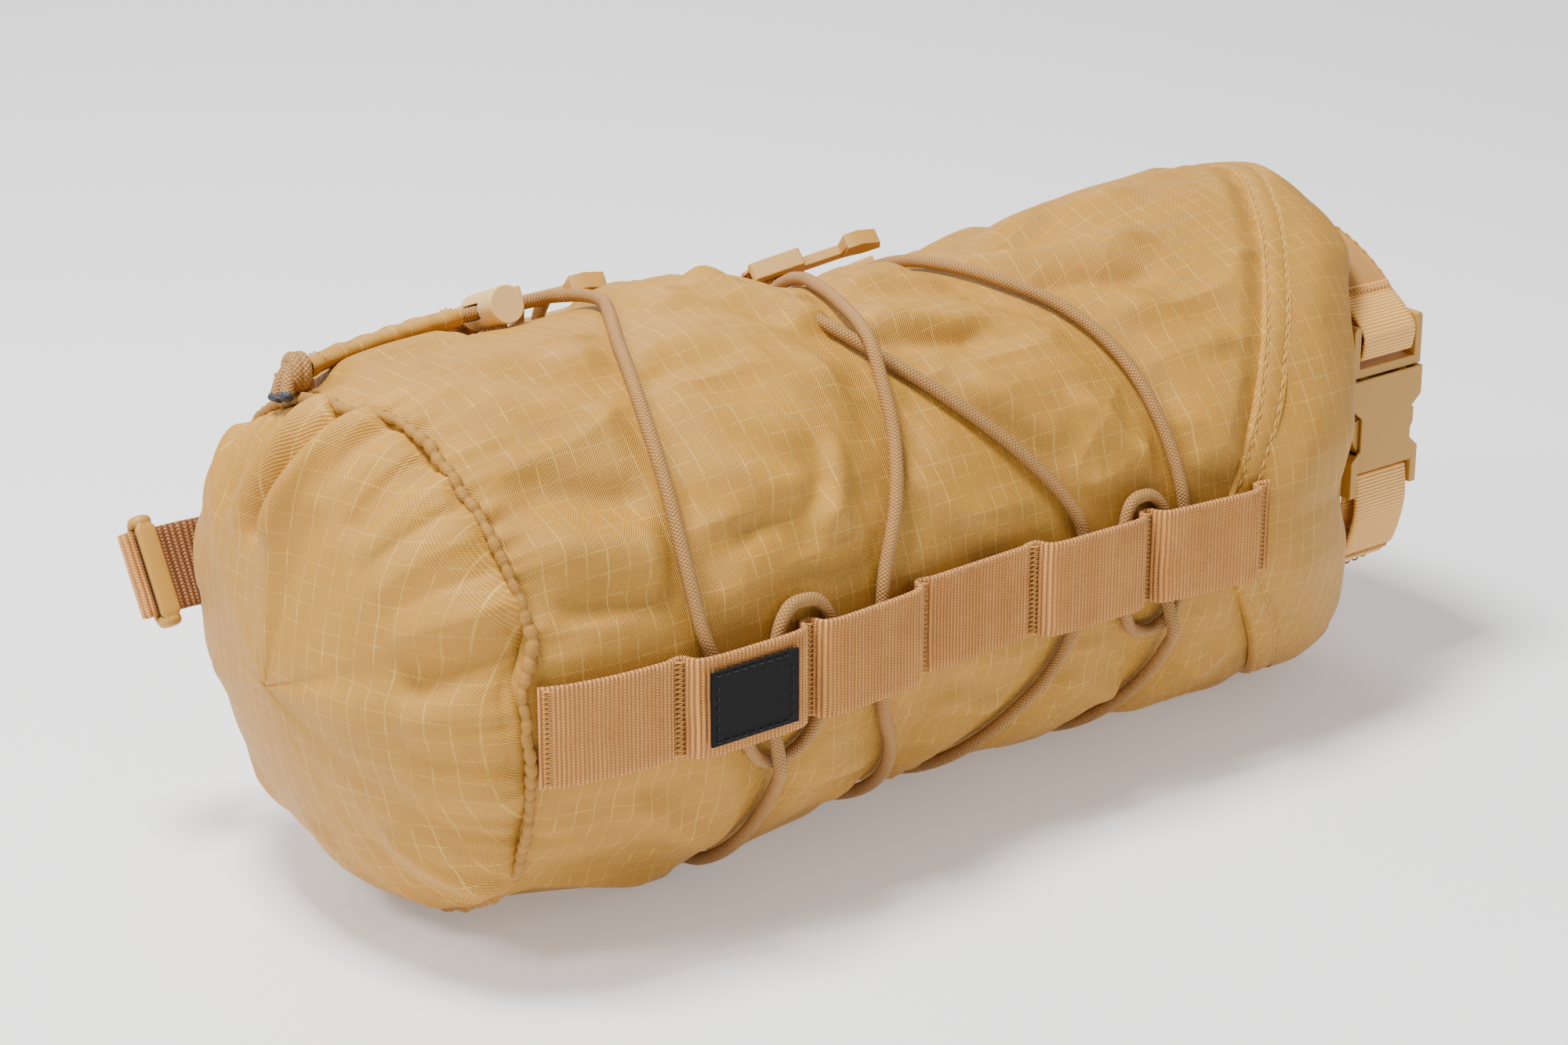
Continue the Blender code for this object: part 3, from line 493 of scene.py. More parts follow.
def ripstop(name, light, dark, thread):
    """Coated cloth: a fine diagonal weave crossed by a grid of doubled, paler threads."""
    g = Graph(name, roughness=0.5, specular=0.22)
    u, v, plane = g.uv()
    place = g.place()
    wobble = g.noise(place, 55.0, 1.0)
    u2 = g.fma(wobble, 1.4, u)
    v2 = g.fma(wobble, 1.4, v)
    dashed = g.fma(g.wave(u, 0.95), 0.8, 0.2)
    grid = g.math("MAXIMUM", g.line(u2, GRID_PITCH, 0.36), g.mul(g.line(v2, GRID_PITCH, 0.36), dashed))
    broken = g.ramp(g.noise(plane, 0.12, 4.0, 0.65), 0.40, 0.62, 0.1, 1.0)
    grid = g.mul(grid, broken)
    lean = g.ramp(g.noise(place, 24.0, 2.0), 0.46, 0.54, 0.0, 1.0)
    one, two = g.wave(g.math("ADD", u, v), 0.72), g.wave(g.math("SUBTRACT", u, v), 0.72)
    weave = g.fma(lean, g.math("SUBTRACT", one, two), two)
    weave = g.mul(weave, g.fma(g.wave(v, 0.5), 0.5, 0.5))
    mottle = g.noise(place, 30.0, 4.0, 0.6)
    fleck = g.noise(plane, 1.6, 2.0, 0.7)
    tone = g.mix(g.fma(mottle, 0.8, 0.1), dark, light)
    tone = g.mix(g.fma(weave, -0.42, 0.42), tone, dark)
    tone = g.mix(g.mul(g.math("POWER", weave, 2.5), 0.30), tone, thread)
    tone = g.mix(g.mul(g.math("SUBTRACT", 0.62, fleck), 0.4), tone, dark)
    tone = g.mix(g.mul(grid, 0.36), tone, thread)
    height = g.fma(grid, 0.35, weave)
    height = g.fma(g.noise(place, 170.0, 3.0), 0.9, height)
    g.set("Roughness", g.fma(mottle, 0.16, 0.42))
    return g.finish(tone, height, depth=0.15, strength=0.9)


def woven_strap(name, light, dark, rib=1.1, cross=1.45, shine=0.35):
    """Ribbed webbing: a rib across it at each weft, broken into grains by its warp."""
    g = Graph(name, roughness=0.62, sheen=0.04, specular=shine)
    u, v, plane = g.uv()
    ribs = g.wave(g.fma(g.noise(g.place(), 90.0), 0.5, u), rib)
    row = g.math("PINGPONG", g.math("DIVIDE", u, rib), 1.0)
    grain = g.wave(g.fma(row, cross * 0.5, v), cross / 2)
    height = g.mul(g.math("POWER", ribs, 0.6), g.fma(grain, 0.45, 0.55))
    wear = g.noise(plane, 0.35, 4.0, 0.65)
    tone = g.mix(g.math("POWER", height, 1.2), dark, light)
    tone = g.mix(g.mul(wear, 0.25), tone, dark)
    return g.finish(tone, height, depth=0.5)


def fine_tape(name, light, dark):
    """Fine ribbed tape with a soft shine."""
    g = Graph(name, roughness=0.5, sheen=0.05, specular=0.4)
    u, v, plane = g.uv()
    ribs = g.mul(g.wave(u, 0.98), g.fma(g.wave(v, 0.45), 0.15, 0.85))
    tone = g.mix(g.math("POWER", ribs, 0.6), dark, light)
    tone = g.mix(g.mul(g.noise(plane, 0.4, 3.0), 0.2), tone, dark)
    return g.finish(tone, ribs, depth=0.32, strength=0.9)


def laminate(name, light, dark):
    """Smooth coated cloth, creased a little and rubbed paler in places."""
    g = Graph(name, roughness=0.42, specular=0.4)
    u, v, _ = g.uv()
    mottle = g.noise(g.place(), 45.0, 4.0, 0.6)
    weave = g.mul(g.wave(u, 0.55), g.wave(v, 0.55))
    tone = g.mix(mottle, dark, light)
    tone = g.mix(g.mul(weave, 0.2), tone, light)
    height = g.fma(weave, 0.25, g.noise(g.place(), 130.0, 3.0))
    return g.finish(tone, height, depth=0.15, strength=0.6)


def braid(name, light, dark):
    """Braided sheath of a shock cord, gathered into fine rings."""
    g = Graph(name, roughness=0.6, sheen=0.04, specular=0.35)
    u, v, plane = g.uv()
    one = g.math("ABSOLUTE", g.math("SINE", g.fma(u, 3.4, g.mul(v, 2.36))))
    two = g.math("ABSOLUTE", g.math("SINE", g.fma(u, 3.4, g.mul(v, -2.36))))
    height = g.math("POWER", g.mul(one, two), 0.7)
    mottle = g.noise(plane, 0.5, 3.0, 0.6)
    tone = g.mix(g.fma(height, 0.7, 0.2), dark, light)
    tone = g.mix(g.mul(mottle, 0.3), tone, dark)
    return g.finish(tone, height, depth=0.22, strength=0.9)


def moulded(name, light, dark):
    """Moulded acetal: satin, faintly grained, a little paler where it is rubbed."""
    g = Graph(name, roughness=0.42, specular=0.35)
    place = g.place()
    grain = g.noise(place, 1600.0, 2.0)
    mottle = g.noise(place, 70.0, 3.0)
    g.set("Roughness", g.fma(grain, 0.14, 0.36))
    return g.finish(g.mix(mottle, dark, light), grain, depth=0.03, strength=0.5)


def thread(name, light, dark):
    g = Graph(name, roughness=0.55, sheen=0.03, specular=0.3)
    u, v, _ = g.uv()
    twist = g.wave(g.fma(v, 0.8, u), 0.5)
    return g.finish(g.mix(twist, dark, light), twist, depth=0.08, strength=0.8)


def label_cloth(name):
    """Blank black woven damask."""
    g = Graph(name, roughness=0.7, specular=0.2)
    u, v, plane = g.uv()
    weave = g.mul(g.wave(g.math("ADD", u, v), 0.5), g.wave(v, 0.36))
    tone = g.mix(weave, (0.002, 0.002, 0.003), (0.009, 0.009, 0.011))
    tone = g.mix(g.mul(g.noise(plane, 0.5, 3.0), 0.4), tone, (0.004, 0.004, 0.005))
    return g.finish(tone, weave, depth=0.12, strength=0.8)


def bright_steel(name):
    g = Graph(name, roughness=0.28)
    g.set("Metallic", 1.0)
    mottle = g.noise(g.place(), 900.0, 2.0)
    return g.finish(g.mix(mottle, (0.55, 0.55, 0.56), (0.7, 0.7, 0.7)), mottle, depth=0.02, strength=0.4)


def sealed_end(name):
    """The melted cord end: dark blue-grey, lumpy and a little glossy."""
    g = Graph(name, roughness=0.4)
    lumps = g.noise(g.place(), 900.0, 4.0, 0.7)
    tone = g.mix(g.math("POWER", lumps, 2.0), (0.004, 0.005, 0.008), (0.085, 0.125, 0.19))
    return g.finish(tone, lumps, depth=0.5)


def stage_paint(name):
    g = Graph(name, roughness=0.9, specular=0.1)
    haze = g.noise(g.place(), 2.0, 2.0)
    g.set("Emission Color", (1.0, 1.0, 1.0))
    g.set("Emission Strength", 0.26)
    return g.finish(g.mix(haze, (0.93, 0.93, 0.93), (0.95, 0.95, 0.95)))


# ---- the cord's route

def straight(x, angle, radius):
    return (x, angle, radius - float(body_radius(x, angle)) - CORD_REST)


def lacing_route():
    """(x, angle, lift off the fabric if any), from the knot round the sack and back to the knot."""
    first, second = CORD_ANGLES
    low, high = STRAIGHT_SPAN
    run = LOCK_RADIUS_AT
    return [
        straight(7, first - 1, 71.2), straight(12, first, 72.4), straight(28, first, 74),
        straight(low, first, run), straight(60, first, run), straight(high, first, run),
        straight(77.5, first - 1.6, run - 0.4), (80.5, 106, 1), (79, 97, 0.3), (73, 88), (64.5, 75),
        (55.5, 55), (50, 33), (49.5, 17), (51.5, 9), (56.5, -2), (61.5, -10), (66, -16), (73, -19),
        (80.5, -17), (85.5, -10), (88, 0), (88, 7.5), (84.8, 12.8), (80, 13.8), (75.4, 13.2), (71.2, 8.5),
        (69.4, 0), (69.8, -9), (70.4, -13, 1.7), (71.6, -18.5, OVER_CORD), (74.2, -25, 1.6), (76, -36),
        (76, -52, 0.4), (77, -75, 0.5), (80.5, -100, 0.5), (88, -124, 0.4), (97, -140),
        (104, -155, OVER_PANEL), (107, -170, OVER_PANEL), (109, 175, OVER_PANEL), (111, 158, OVER_PANEL),
        (113.5, 140), (115.5, 120), (117, 100), (121, 82), (130, 64), (143, 48), (158, 32), (169, 19),
        (174, 9), (174, -4), (171.5, -14), (167, -25), (160.5, -36), (154.5, -50), (150, -70),
        (148.5, -95), (156, -120), (168, -138), (178, -154, OVER_PANEL), (182, -170, OVER_PANEL),
        (183.5, 175, OVER_PANEL), (183.5, 157, OVER_PANEL), (183, 138), (182, 115), (182.5, 94),
        (188, 78), (197, 63), (203, 47), (206, 30), (207.5, 15), (208.2, 4), (208, -8), (205.5, -16),
        (199.5, -19.5), (192, -17), (188, -9), (187.2, 0), (187.6, 7.5), (190.4, 12.6), (194.4, 13.8),
        (198.8, 12.8), (202, 7), (202, -1), (202, -9), (202.6, -13, 1.7), (204.3, -18.5, OVER_CORD),
        (206.3, -25, 1.6), (206.5, -36), (203, -52), (199, -75), (195, -100), (183.5, -122, 1.6),
        (169, -139, OVER_CORD), (164, -155, OVER_PANEL + 1), (163, -170, OVER_PANEL),
        (162.5, 175, OVER_PANEL), (161, 158, OVER_PANEL), (157.5, 140), (152.5, 120), (146.5, 103),
        (140.5, 90), (134.5, 75, 1.6), (129.5, 62.5, OVER_CORD), (126, 52, 1.6), (122.5, 41), (115, 27),
        (107, 15), (104.5, 6), (105, -6), (108, -17), (116, -30), (122.5, -45), (125.5, -62), (125, -85),
        (119, -108), (109, -128, 2), (97.5, -141, OVER_CORD), (91, -156, OVER_PANEL + 1),
        (89.5, -171, OVER_PANEL), (89, 175, OVER_PANEL), (88.5, 160, OVER_PANEL), (88, 146), (86.5, 134),
        (82.5, 125, 1), straight(78, second + 2, run - 0.4), straight(high, second, run),
        straight(60, second, run), straight(low, second, run), straight(28, second, 74),
        straight(12, second + 0.2, 72.4), straight(7, second + 1.2, 71.2),
    ]


def route_line():
    """The cord's centre line, in metres."""
    unwrapped = []
    for x, angle, *lift in lacing_route():
        if unwrapped:
            angle -= 360 * round((angle - unwrapped[-1][1]) / 360)
        unwrapped.append((x, angle, *(lift or [0])))
    fine = catmull_rom(unwrapped, 14)
    line = skin(fine[:, 0], fine[:, 1], CORD_REST - 0.25 + fine[:, 2])
    even = resample(line, 1.2 * MM)[0]
    smooth = even.copy()
    smooth[1:-1] = (even[:-2] + 2 * even[1:-1] + even[2:]) / 4
    return smooth


# ---- fabric

# Folds, listed one by one: (x, angle) to (x, angle), half width and height in mm
FOLDS = [
    (16, 74, 62, 52, 9, 1.5), (12, 50, 56, 40, 7, -1.6), (10, 36, 58, 30, 8, 2.4),
    (12, 22, 54, 22, 6, -1.8), (24, 84, 74, 74, 8, 1.2), (60, 62, 96, 42, 8, 1.3),
    (66, 44, 108, 22, 6.5, 1.6), (62, 28, 100, 34, 5, -1.4), (80, 74, 118, 54, 8, 1.1),
    (88, 20, 104, 44, 5, 1.4), (96, 92, 122, 76, 7, -1.6), (104, 100, 128, 80, 4.5, 2),
    (128, 92, 152, 72, 6, 1.5), (132, 74, 176, 66, 5, 1.7), (134, 66, 172, 60, 4.5, -1.6),
    (146, 92, 184, 86, 6, 1.4), (150, 50, 176, 30, 6, 1.2), (162, 100, 208, 88, 7, 1.8),
    (178, 78, 198, 60, 5, -1.4), (192, 88, 238, 72, 7, 2.4), (196, 76, 232, 62, 5, -2),
    (206, 102, 252, 90, 8, 1.8), (212, 60, 236, 40, 6, 1.2), (180, 40, 202, 20, 5, 1.6),
    (118, 34, 146, 16, 6, 1.3), (30, -20, 62, -40, 6, 1.4), (20, -50, 60, -56, 6, 1.3),
    (88, -26, 120, -36, 6, 1.5), (100, -46, 140, -50, 6, 1.3), (128, -24, 156, -30, 5, 1.2),
    (168, -28, 204, -40, 6, 1.4), (60, -66, 110, -72, 6, 1.2), (210, -30, 240, -44, 6, 1.2),
    (30, 124, 70, 134, 7, 1.4), (96, 118, 150, 124, 7, 1.5), (190, 120, 240, 132, 8, 1.6),
    (40, -110, 90, -120, 7, 1.3), (120, -100, 180, -112, 7, 1.3), (200, -90, 250, -104, 7, 1.3),
]


def cord_distance(points):
    """How far each point is from the cord's centre line, in mm."""
    tree = KDTree(len(CORD_LINE))
    for i, point in enumerate(CORD_LINE):
        tree.insert(point, i)
    tree.balance()
    away = np.array([tree.find(p)[2] for p in points.reshape(-1, 3)]) / MM
    return away.reshape(points.shape[:-1])


def under_fittings(x, angle):
    """0 where webbing or the back panel lies on the fabric, 1 where it's free."""
    front = ease((fold(angle) - 11.5) / 9)
    back = ease((180 - fold(angle) - 21) / 10)
    return np.where((x > 3) & (x < 239), front, 1.0) * back


def cord_cover(x, angle):
    """A fold of the fabric that rides over the cord where it crosses the top."""
    middle = np.interp(angle, [70, 82, 100, 108, 122], [127.5, 121, 117, 116.3, 115.3])
    off = x - middle
    ridge = np.exp(-(off / np.where(off < 0, 10.0, 5.0)) ** 2)
    return ridge * ease((angle - 69) / 7) * ease((121 - angle) / 20)


def wrinkle_height(x, angle, points):
    """How far the stuffed fabric stands in or out of its smooth shape, in mm."""
    seam = np.maximum(x - seam_x(angle), 0)
    pucker = ring_noise(x, angle, 5.2, 60.0, 11) + 0.6 * ring_noise(x, angle, 2.6, 30.0, 12)
    height = 1.9 * pucker * np.exp(-seam / 9)
    height += 1.3 * ring_noise(x, angle, 11.0, 90.0, 13) * np.exp(-seam / 30)
    height += 2.9 * ring_noise(x + 0.25 * fold(angle), angle, 24.0, 44.0, 14)
    swirl = ring_noise(x, angle, 30.0, 30.0, 15)
    fine = ring_noise(x + 12 * swirl, angle + 9 * swirl, 11.0, 34.0, 16)
    height += 1 - 2.2 * np.abs(fine)
    height += 1.7 * creases(x, angle, FOLDS)
    away = cord_distance(points)
    near_hem = ease((hem_x(angle) - x) / 10)
    height = height * ease((away - 1.5) / 9.0) * (0.35 + 0.65 * near_hem)
    height += 2.3 * ease((away - 2.0) / 15.0) * near_hem * ease((x - 40) / 30) - 0.55
    height += 5.4 * cord_cover(x, angle)
    height += 2.8 * np.exp(-((angle - 108) / 9.0) ** 2) * ease((x - 5) / 8) * ease((49 - x) / 10)
    lock_run = ease((x - 38) / 7) * ease((88 - x) / 7) * ease((26 - abs(angle - LOCK_ANGLE)) / 9)
    height -= np.maximum(height + 0.3, 0) * lock_run
    return height * under_fittings(x, angle) - 0.25 * (1 - under_fittings(x, angle))


def body_rows(angles):
    """The stuffed tube, from an edge tucked into the seam to the hem."""
    start, end = seam_x(angles) + 0.4, hem_x(angles) + 0.6
    x = start + (end - start) * np.linspace(0, 1, 420)[:, None]
    out = wrinkle_height(x, angles, skin(x, angles))
    out = out * (1 - ease((24 - fold(angles + 90)) / 14))
    edge = np.exp(-(x - start)) * 0.7
    tucked = skin(start - 1.6, angles, -3.2)[None]
    return np.concatenate([tucked, skin(x, angles, out - edge)]), np.concatenate([x[:1] - 3, x])


# Tucks in the round end: (y, z) to (y, z), half width and height in mm
CAP_FOLDS = [
    (-3, 68, 10, 34, 3.4, -5.2), (-9, 66, 4, 36, 4, 3), (6, 66, 18, 34, 4.5, 2.4),
    (16, 62, 27, 36, 4, -1.8), (-30, 60, -22, 42, 3.6, -2), (-37, 58, -27, 38, 4, 2.2),
    (-20, 64, -10, 44, 4, 1.6), (-44, 50, -34, 30, 5, 1.6), (-58, 30, -40, 22, 5, 2.4),
    (-60, 22, -42, 12, 4.5, -2.4), (-62, 10, -44, 2, 5, 1.8), (-60, -14, -42, -16, 5, 1.6),
    (-46, -42, -32, -30, 5, 2), (-30, -54, -22, -36, 5, -1.6), (0, -60, -4, -38, 6, 1.8),
    (56, 20, 36, 14, 6, 1.8), (54, -20, 36, -12, 6, -1.6), (36, -50, 24, -34, 6, 1.6),
]


def make_cap_fabric():
    """The round end, gathered all the way into its seam, with one deep tuck at the top."""
    angles = np.arange(560) * 360 / 560
    run = np.linspace(0.0, 1.0, 200)
    share = np.sin(run * math.pi / 2) ** 0.92
    depth = 26.0 * (1 - np.clip(share, 0, 1) ** 3.1) ** 0.62
    share, depth = share[::-1, None], depth[::-1, None]
    seam = seam_x(angles) - 0.3
    x = seam * share - depth
    radius = body_radius(seam, angles) * share
    points = around(x, angles, radius, base_depth(seam))
    normal = grid_normals(np.concatenate([points[:, -1:], points, points[:, :1]], axis=1))[:, 1:-1]
    normal = normal * np.sign(np.sum(normal * (points - world(20, 0, 0)), axis=-1, keepdims=True))
    inward = (1 - share) * 66
    gather = ring_noise(x * 0.2, angles, 5.6, 90.0, 21) + 0.55 * ring_noise(x * 0.2, angles, 3.0, 60.0, 22)
    height = 1.9 * gather * np.exp(-inward / 10.0) * ease(inward / 1.5 + 0.2)
    height += 2.2 * ring_noise(x * 0.1, angles, 15.0, 80.0, 23) * np.exp(-inward / 28.0)
    turn = np.radians(angles)
    py, pz = -radius * np.cos(turn), radius * np.sin(turn)
    height += 1.9 * noise(py / 24 + 9, pz / 34 + 4, 0.0, 24)
    for y0, z0, y1, z1, width, tall in CAP_FOLDS:
        dy, dz = y1 - y0, z1 - z0
        along = ((py - y0) * dy + (pz - z0) * dz) / (dy * dy + dz * dz)
        side = ((py - y0) * dz - (pz - z0) * dy) / math.hypot(dy, dz)
        height += tall * np.exp(-(side / width) ** 2) * ease(np.minimum(along + 0.25, 1.15 - along) * 3)
    rim = np.exp(-inward) * 0.8
    below = ease((27 - fold(angles + 90)) / 14) * np.exp(-inward / 12)
    points = points + normal * ((height * (1 - below) - rim) * MM)[..., None]
    tucked = around(seam + 2.4, angles, body_radius(seam, angles) - 3.0, base_depth(seam) - 3.0)
    points = np.concatenate([tucked[None], points])
    uv = closed(stacked(py, pz))
    uv = np.concatenate([uv[:1], uv])
    return show(grid_mesh("cap_fabric", points, uv, wrap=True), RIPSTOP, "ripstop", "end_cap")


def make_seam_bead():
    """The gathered seam: a narrow rolled edge, pinched at every stitch."""
    angles = np.linspace(0, 360, 900, endpoint=False)
    lift = 0.15 + 0.55 * ring_noise(0, angles, 4.4, 50.0, 31)
    shift = 0.7 * ring_noise(0, angles, 7.0, 50.0, 32)
    seam = seam_x(angles)
    line = around(seam + shift, angles, body_radius(seam, angles) + lift)
    pinch = 1 - 0.28 * np.abs(np.sin(angles * math.pi / 180 * 66 / 3.6 * math.pi)) ** 6
    radius = 1.45 * pinch * (1 + 0.2 * ring_noise(0, angles, 9.0, 50.0, 33)) * MM
    line, radius = np.concatenate([line, line[:1]]), np.append(radius, radius[0])
    show(tube_mesh("seam_bead", line, radius, sides=10), SEAM_CLOTH, "ripstop", "cap_seam_binding")


def ring_piece(name, rows, *nodes):
    """A band of fabric round the sack; rows(angles) gives its points and x, row by row."""
    angles = np.arange(RING_COLUMNS + 1) * 360 / RING_COLUMNS
    points, along = rows(angles[:-1])
    uv = stacked(closed(along), np.radians(angles) * MAP_RADIUS)
    return show(grid_mesh(name, points, uv, wrap=True), RIPSTOP, "ripstop", *nodes)


def hem_wave(x, angle):
    """The hem ripples a little between its two stitch lines."""
    wave = 0.5 * ring_noise(x, angle, 9.0, 40.0, 41) + 0.8 * ring_noise(x, angle, 28.0, 60.0, 42)
    return wave * ease((180 - fold(angle) - 4) / 10)


def hem_rows(angles):
    profile = [(-0.4, -0.9), (0.0, 0.2), (0.5, 0.75), (1.0, 0.85), (1.6, 0.6), (2.4, 0.8), (3.6, 1.0),
               (5.0, 1.05), (6.2, 0.95), (7.3, 0.8), (8.0, 0.55), (8.6, 0.7), (9.2, 0.9)]
    profile = catmull_rom(profile, 4)
    x = hem_x(angles)[None] + profile[:, :1]
    return skin(x, angles, profile[:, 1:] + hem_wave(x, angles)), x


def collar_profile(angles):
    """The collar's control points, row by row, from the hem over the rim to the flat behind the roll."""
    t = ease((fold(angles) - 15) / 70)
    hem = hem_x(angles) + HEM_WIDTH
    rim = np.maximum(smooth_curve(RIM_LINE, fold(angles)), hem + 3)
    first = body_radius(hem, angles)
    middle = body_radius((hem + rim) / 2, angles)
    front = [(hem, first + 0.8), ((hem + rim - 6) / 2, middle + 0.6), (rim - 6, 67.5), (rim, 64.5),
             (rim + 5, 59), (283, 52.5), (288, 46), (288.5, 41), (288.5, 20), (288.5, 0.5)]
    side = [(hem, first + 0.8), ((hem + rim - 1) / 2, middle + 0.6), (rim - 1, 67.8), (rim + 1, 64.5),
            (rim, 60.5), (299, 58), (290, 57), (288.5, 50), (288.5, 20), (288.5, 0.5)]
    pairs = zip(front, side)
    return np.array([stacked(xf + (xs - xf) * t, rf + (rs - rf) * t) for (xf, rf), (xs, rs) in pairs])


def collar_rows(angles):
    control = collar_profile(angles)
    rows = catmull_rom(control.reshape(len(control), -1), 12).reshape(-1, len(angles), 2)
    x, radius = rows[..., 0], rows[..., 1]
    reach = np.linspace(0, 1, len(x))[:, None]
    folds = 1.0 * ring_noise(x, angles, 17.0, 60.0, 51) + 0.5 * ring_noise(x, angles, 8.0, 40.0, 52)
    folds = folds * ease(reach * 9) * ease((1 - reach) * 5)
    depth = np.where(reach < 0.12, base_depth(x), REST_DEPTH)
    return around(x, angles, radius + folds, depth), x


def make_hem_stitches():
    angles = np.linspace(-168, 168, 1500)
    pieces = []
    for shift in (1.6, 8.0):
        x = hem_x(angles) + shift
        lift = 0.45 + hem_wave(x, angles)
        line, outer = skin(x, angles, lift), skin(x, angles, lift + 5)
        pieces.append(dashes(line, outer - line))
    show(join_meshes("hem_stitches", pieces), SEAM_THREAD, "ripstop")


def on_roll(x, turn, radius):
    """Points on the ring the mouth is bent into, for a turn in radians."""
    return world(x, -radius * np.cos(turn), ROLL_CENTRE_Z + radius * np.sin(turn))


def make_rolled_mouth():
    """The laminated strip of the rolled mouth: a flat spiral of layers bent into a ring."""
    inner, outer = ROLL_RADII
    half, middle = (outer - inner) / 2, (outer + inner) / 2
    x0, x1 = ROLL_X
    first, last = ROLL_ANGLES
    turn = math.tau * np.arange(40) / 40
    x = (x0 + x1) / 2 + (x1 - x0) / 2 * squared(np.cos(turn), 0.35)
    out = half * squared(np.sin(turn), 0.6)
    share = np.linspace(0, 1, 260)[:, None]
    radius = middle + out + 0.6 * noise(share * 12, 0.0, 0.0, 61) + 0.3 * np.sin(x * 1.1) * (out > 0)
    points = on_roll(x, np.radians(first + (last - first) * share), radius)
    girth = np.arange(41) * (2 * (x1 - x0) + 4 * half) / 40
    uv = stacked(share * 238, girth)
    show(grid_mesh("rolled_mouth", points, uv, wrap=True, caps=True), LAMINATE, "laminate", "roll_closure")
    stitches = []
    for x in (x0 + 2.2, x1 - 2.2):
        line = on_roll(x, np.radians(np.linspace(first + 2, last - 2, 800)), outer - 0.35)
        stitches.append(dashes(line, line - world(x, 0, ROLL_CENTRE_Z)))
    layers = []
    x = np.linspace(x0 + 2.0, x1 - 2.0, 40)
    for turn in np.radians([first - 0.25, last + 0.25]):
        for level in (-2.2, 0.0, 2.2):
            line = on_roll(x, turn, middle + level + 0.25 * np.sin(x * 0.7 + level))
            layers.append(tube_mesh("layer", line, 0.5 * MM, sides=6))
    show(join_meshes("roll_stitches", stitches), SEAM_THREAD, "laminate")
    show(join_meshes("roll_layers", layers), LAMINATE, "laminate")


# ---- webbing

def ladder_profile(start, end, raised, low, high):
    """(x, height) of ladder webbing: down at each bartack, up where a cord runs behind it."""
    edges = [start, *TACKS, end]
    profile = [(start, low)]
    for index, (a, b) in enumerate(zip(edges, edges[1:])):
        top = high if index in raised else low + 0.8
        if b == end:
            profile.append((b, low))
            continue
        if index:
            profile.append((a + 1.4, low))
        profile += [(a + 4.6, top), ((a + b) / 2, top + 0.5), (b - 4.6, top), (b - 1.4, low)]
    return catmull_rom(profile, 5)


def bartack(x, y):
    """A bartack across the webbing at x, on a face at that y."""
    return zigzag(world(x, y, 0.0), ALONG, UP, np.array([0, math.copysign(1.0, y), 0]), 24.0)


def make_webbing(side, angle, span, raised, places, base=0.0, step=0.25):
    """Ladder webbing along the sack, sewn down at those places and raised where a cord runs behind."""
    way = 1 if angle == 180 else -1
    low = base + GAP + WEB_THICK / 2
    high = base + CORD_REST + CORD_RADIUS + 0.4 + WEB_THICK / 2
    x, height = ladder_profile(*span, raised, low, high).T
    centres = world(x, way * (body_radius(x, angle) + height), 0.0)
    mesh = strap_mesh(side + "_web", centres, UP, WEB_WIDTH, WEB_THICK, step=step, rib=0.32)
    show(mesh, WEBBING, "webbing", side + "_webbing")
    tacks = [bartack(x, way * (float(body_radius(x, angle)) + low + WEB_THICK / 2)) for x in places]
    show(join_meshes(side + "_tacks", tacks), WEB_THREAD, "webbing")


def make_label():
    """A blank woven label, sewn on along its edges."""
    x = np.linspace(47.0, 72.6, 44)
    y = -(body_radius(x, 0) + CORD_REST + CORD_RADIUS + WEB_THICK + 1.8)
    bow = 0.25 * np.cos((x - 59.8) / 12.8 * math.pi / 2)
    show(strap_mesh("label_cloth", world(x, y + bow, 0.0), UP, 19.0, 0.7, step=0.4, edge=0.2),
         LABEL, "label", "label_patch")
    lines = [world(x[2:-2], y[2:-2] - 0.3, z) for z in (-8.4, 8.4)]
    lines += [world(x[k], y[k] - 0.3, np.linspace(-8.1, 8.1, 60)) for k in (3, -4)]
    rows = [dashes(line, np.array([0, -1.0, 0]), 1.7, 0.7, 0.2, 0.05) for line in lines]
    show(join_meshes("label_stitches", rows), LABEL_THREAD, "label")


def panel_lift(x):
    """How far the panel's cap end stands off the fabric, to lie flat under the strap."""
    return np.where(x < 40, np.maximum(0.0, 69.6 - body_radius(x, 180)), 0.0)


def make_back_panel():
    """The stiff panel behind the rear webbing, rounded at its corners and sewn round its edge."""
    outline = np.array([(7.5, 10), (9, 14), (12, 17.5), (17, 19.5), *((x, 20) for x in range(30, 224, 6)),
                        (225, 19.5), (231, 17), (235, 11)])
    k = np.linspace(-1, 1, 41)
    x, angle = outline[:, :1], 180 + outline[:, 1:] * k
    points = skin(x, angle, GAP + 0.1 + panel_lift(x) + 1.35 * (1 - np.abs(k) ** 8))
    uv = stacked(x, np.radians(angle) * MAP_RADIUS)
    show(grid_mesh("back_panel", points, uv, flip=True), LAMINATE, "laminate", "rear_panel")
    sewn = []
    x = outline[:, 0]
    rise = GAP + 1.35 + panel_lift(x)
    for way in (-1, 1):
        at = 180 + way * (outline[:, 1] - 1.8)
        line, outer = (catmull_rom(skin(x, at, height), 10) for height in (rise, rise + 5))
        sewn.append(dashes(line, outer - line))
    sewn += [bartack(x, 71.6) for x in (26.0, 32.0)]
    show(join_meshes("panel_stitches", sewn), SEAM_THREAD, "laminate")


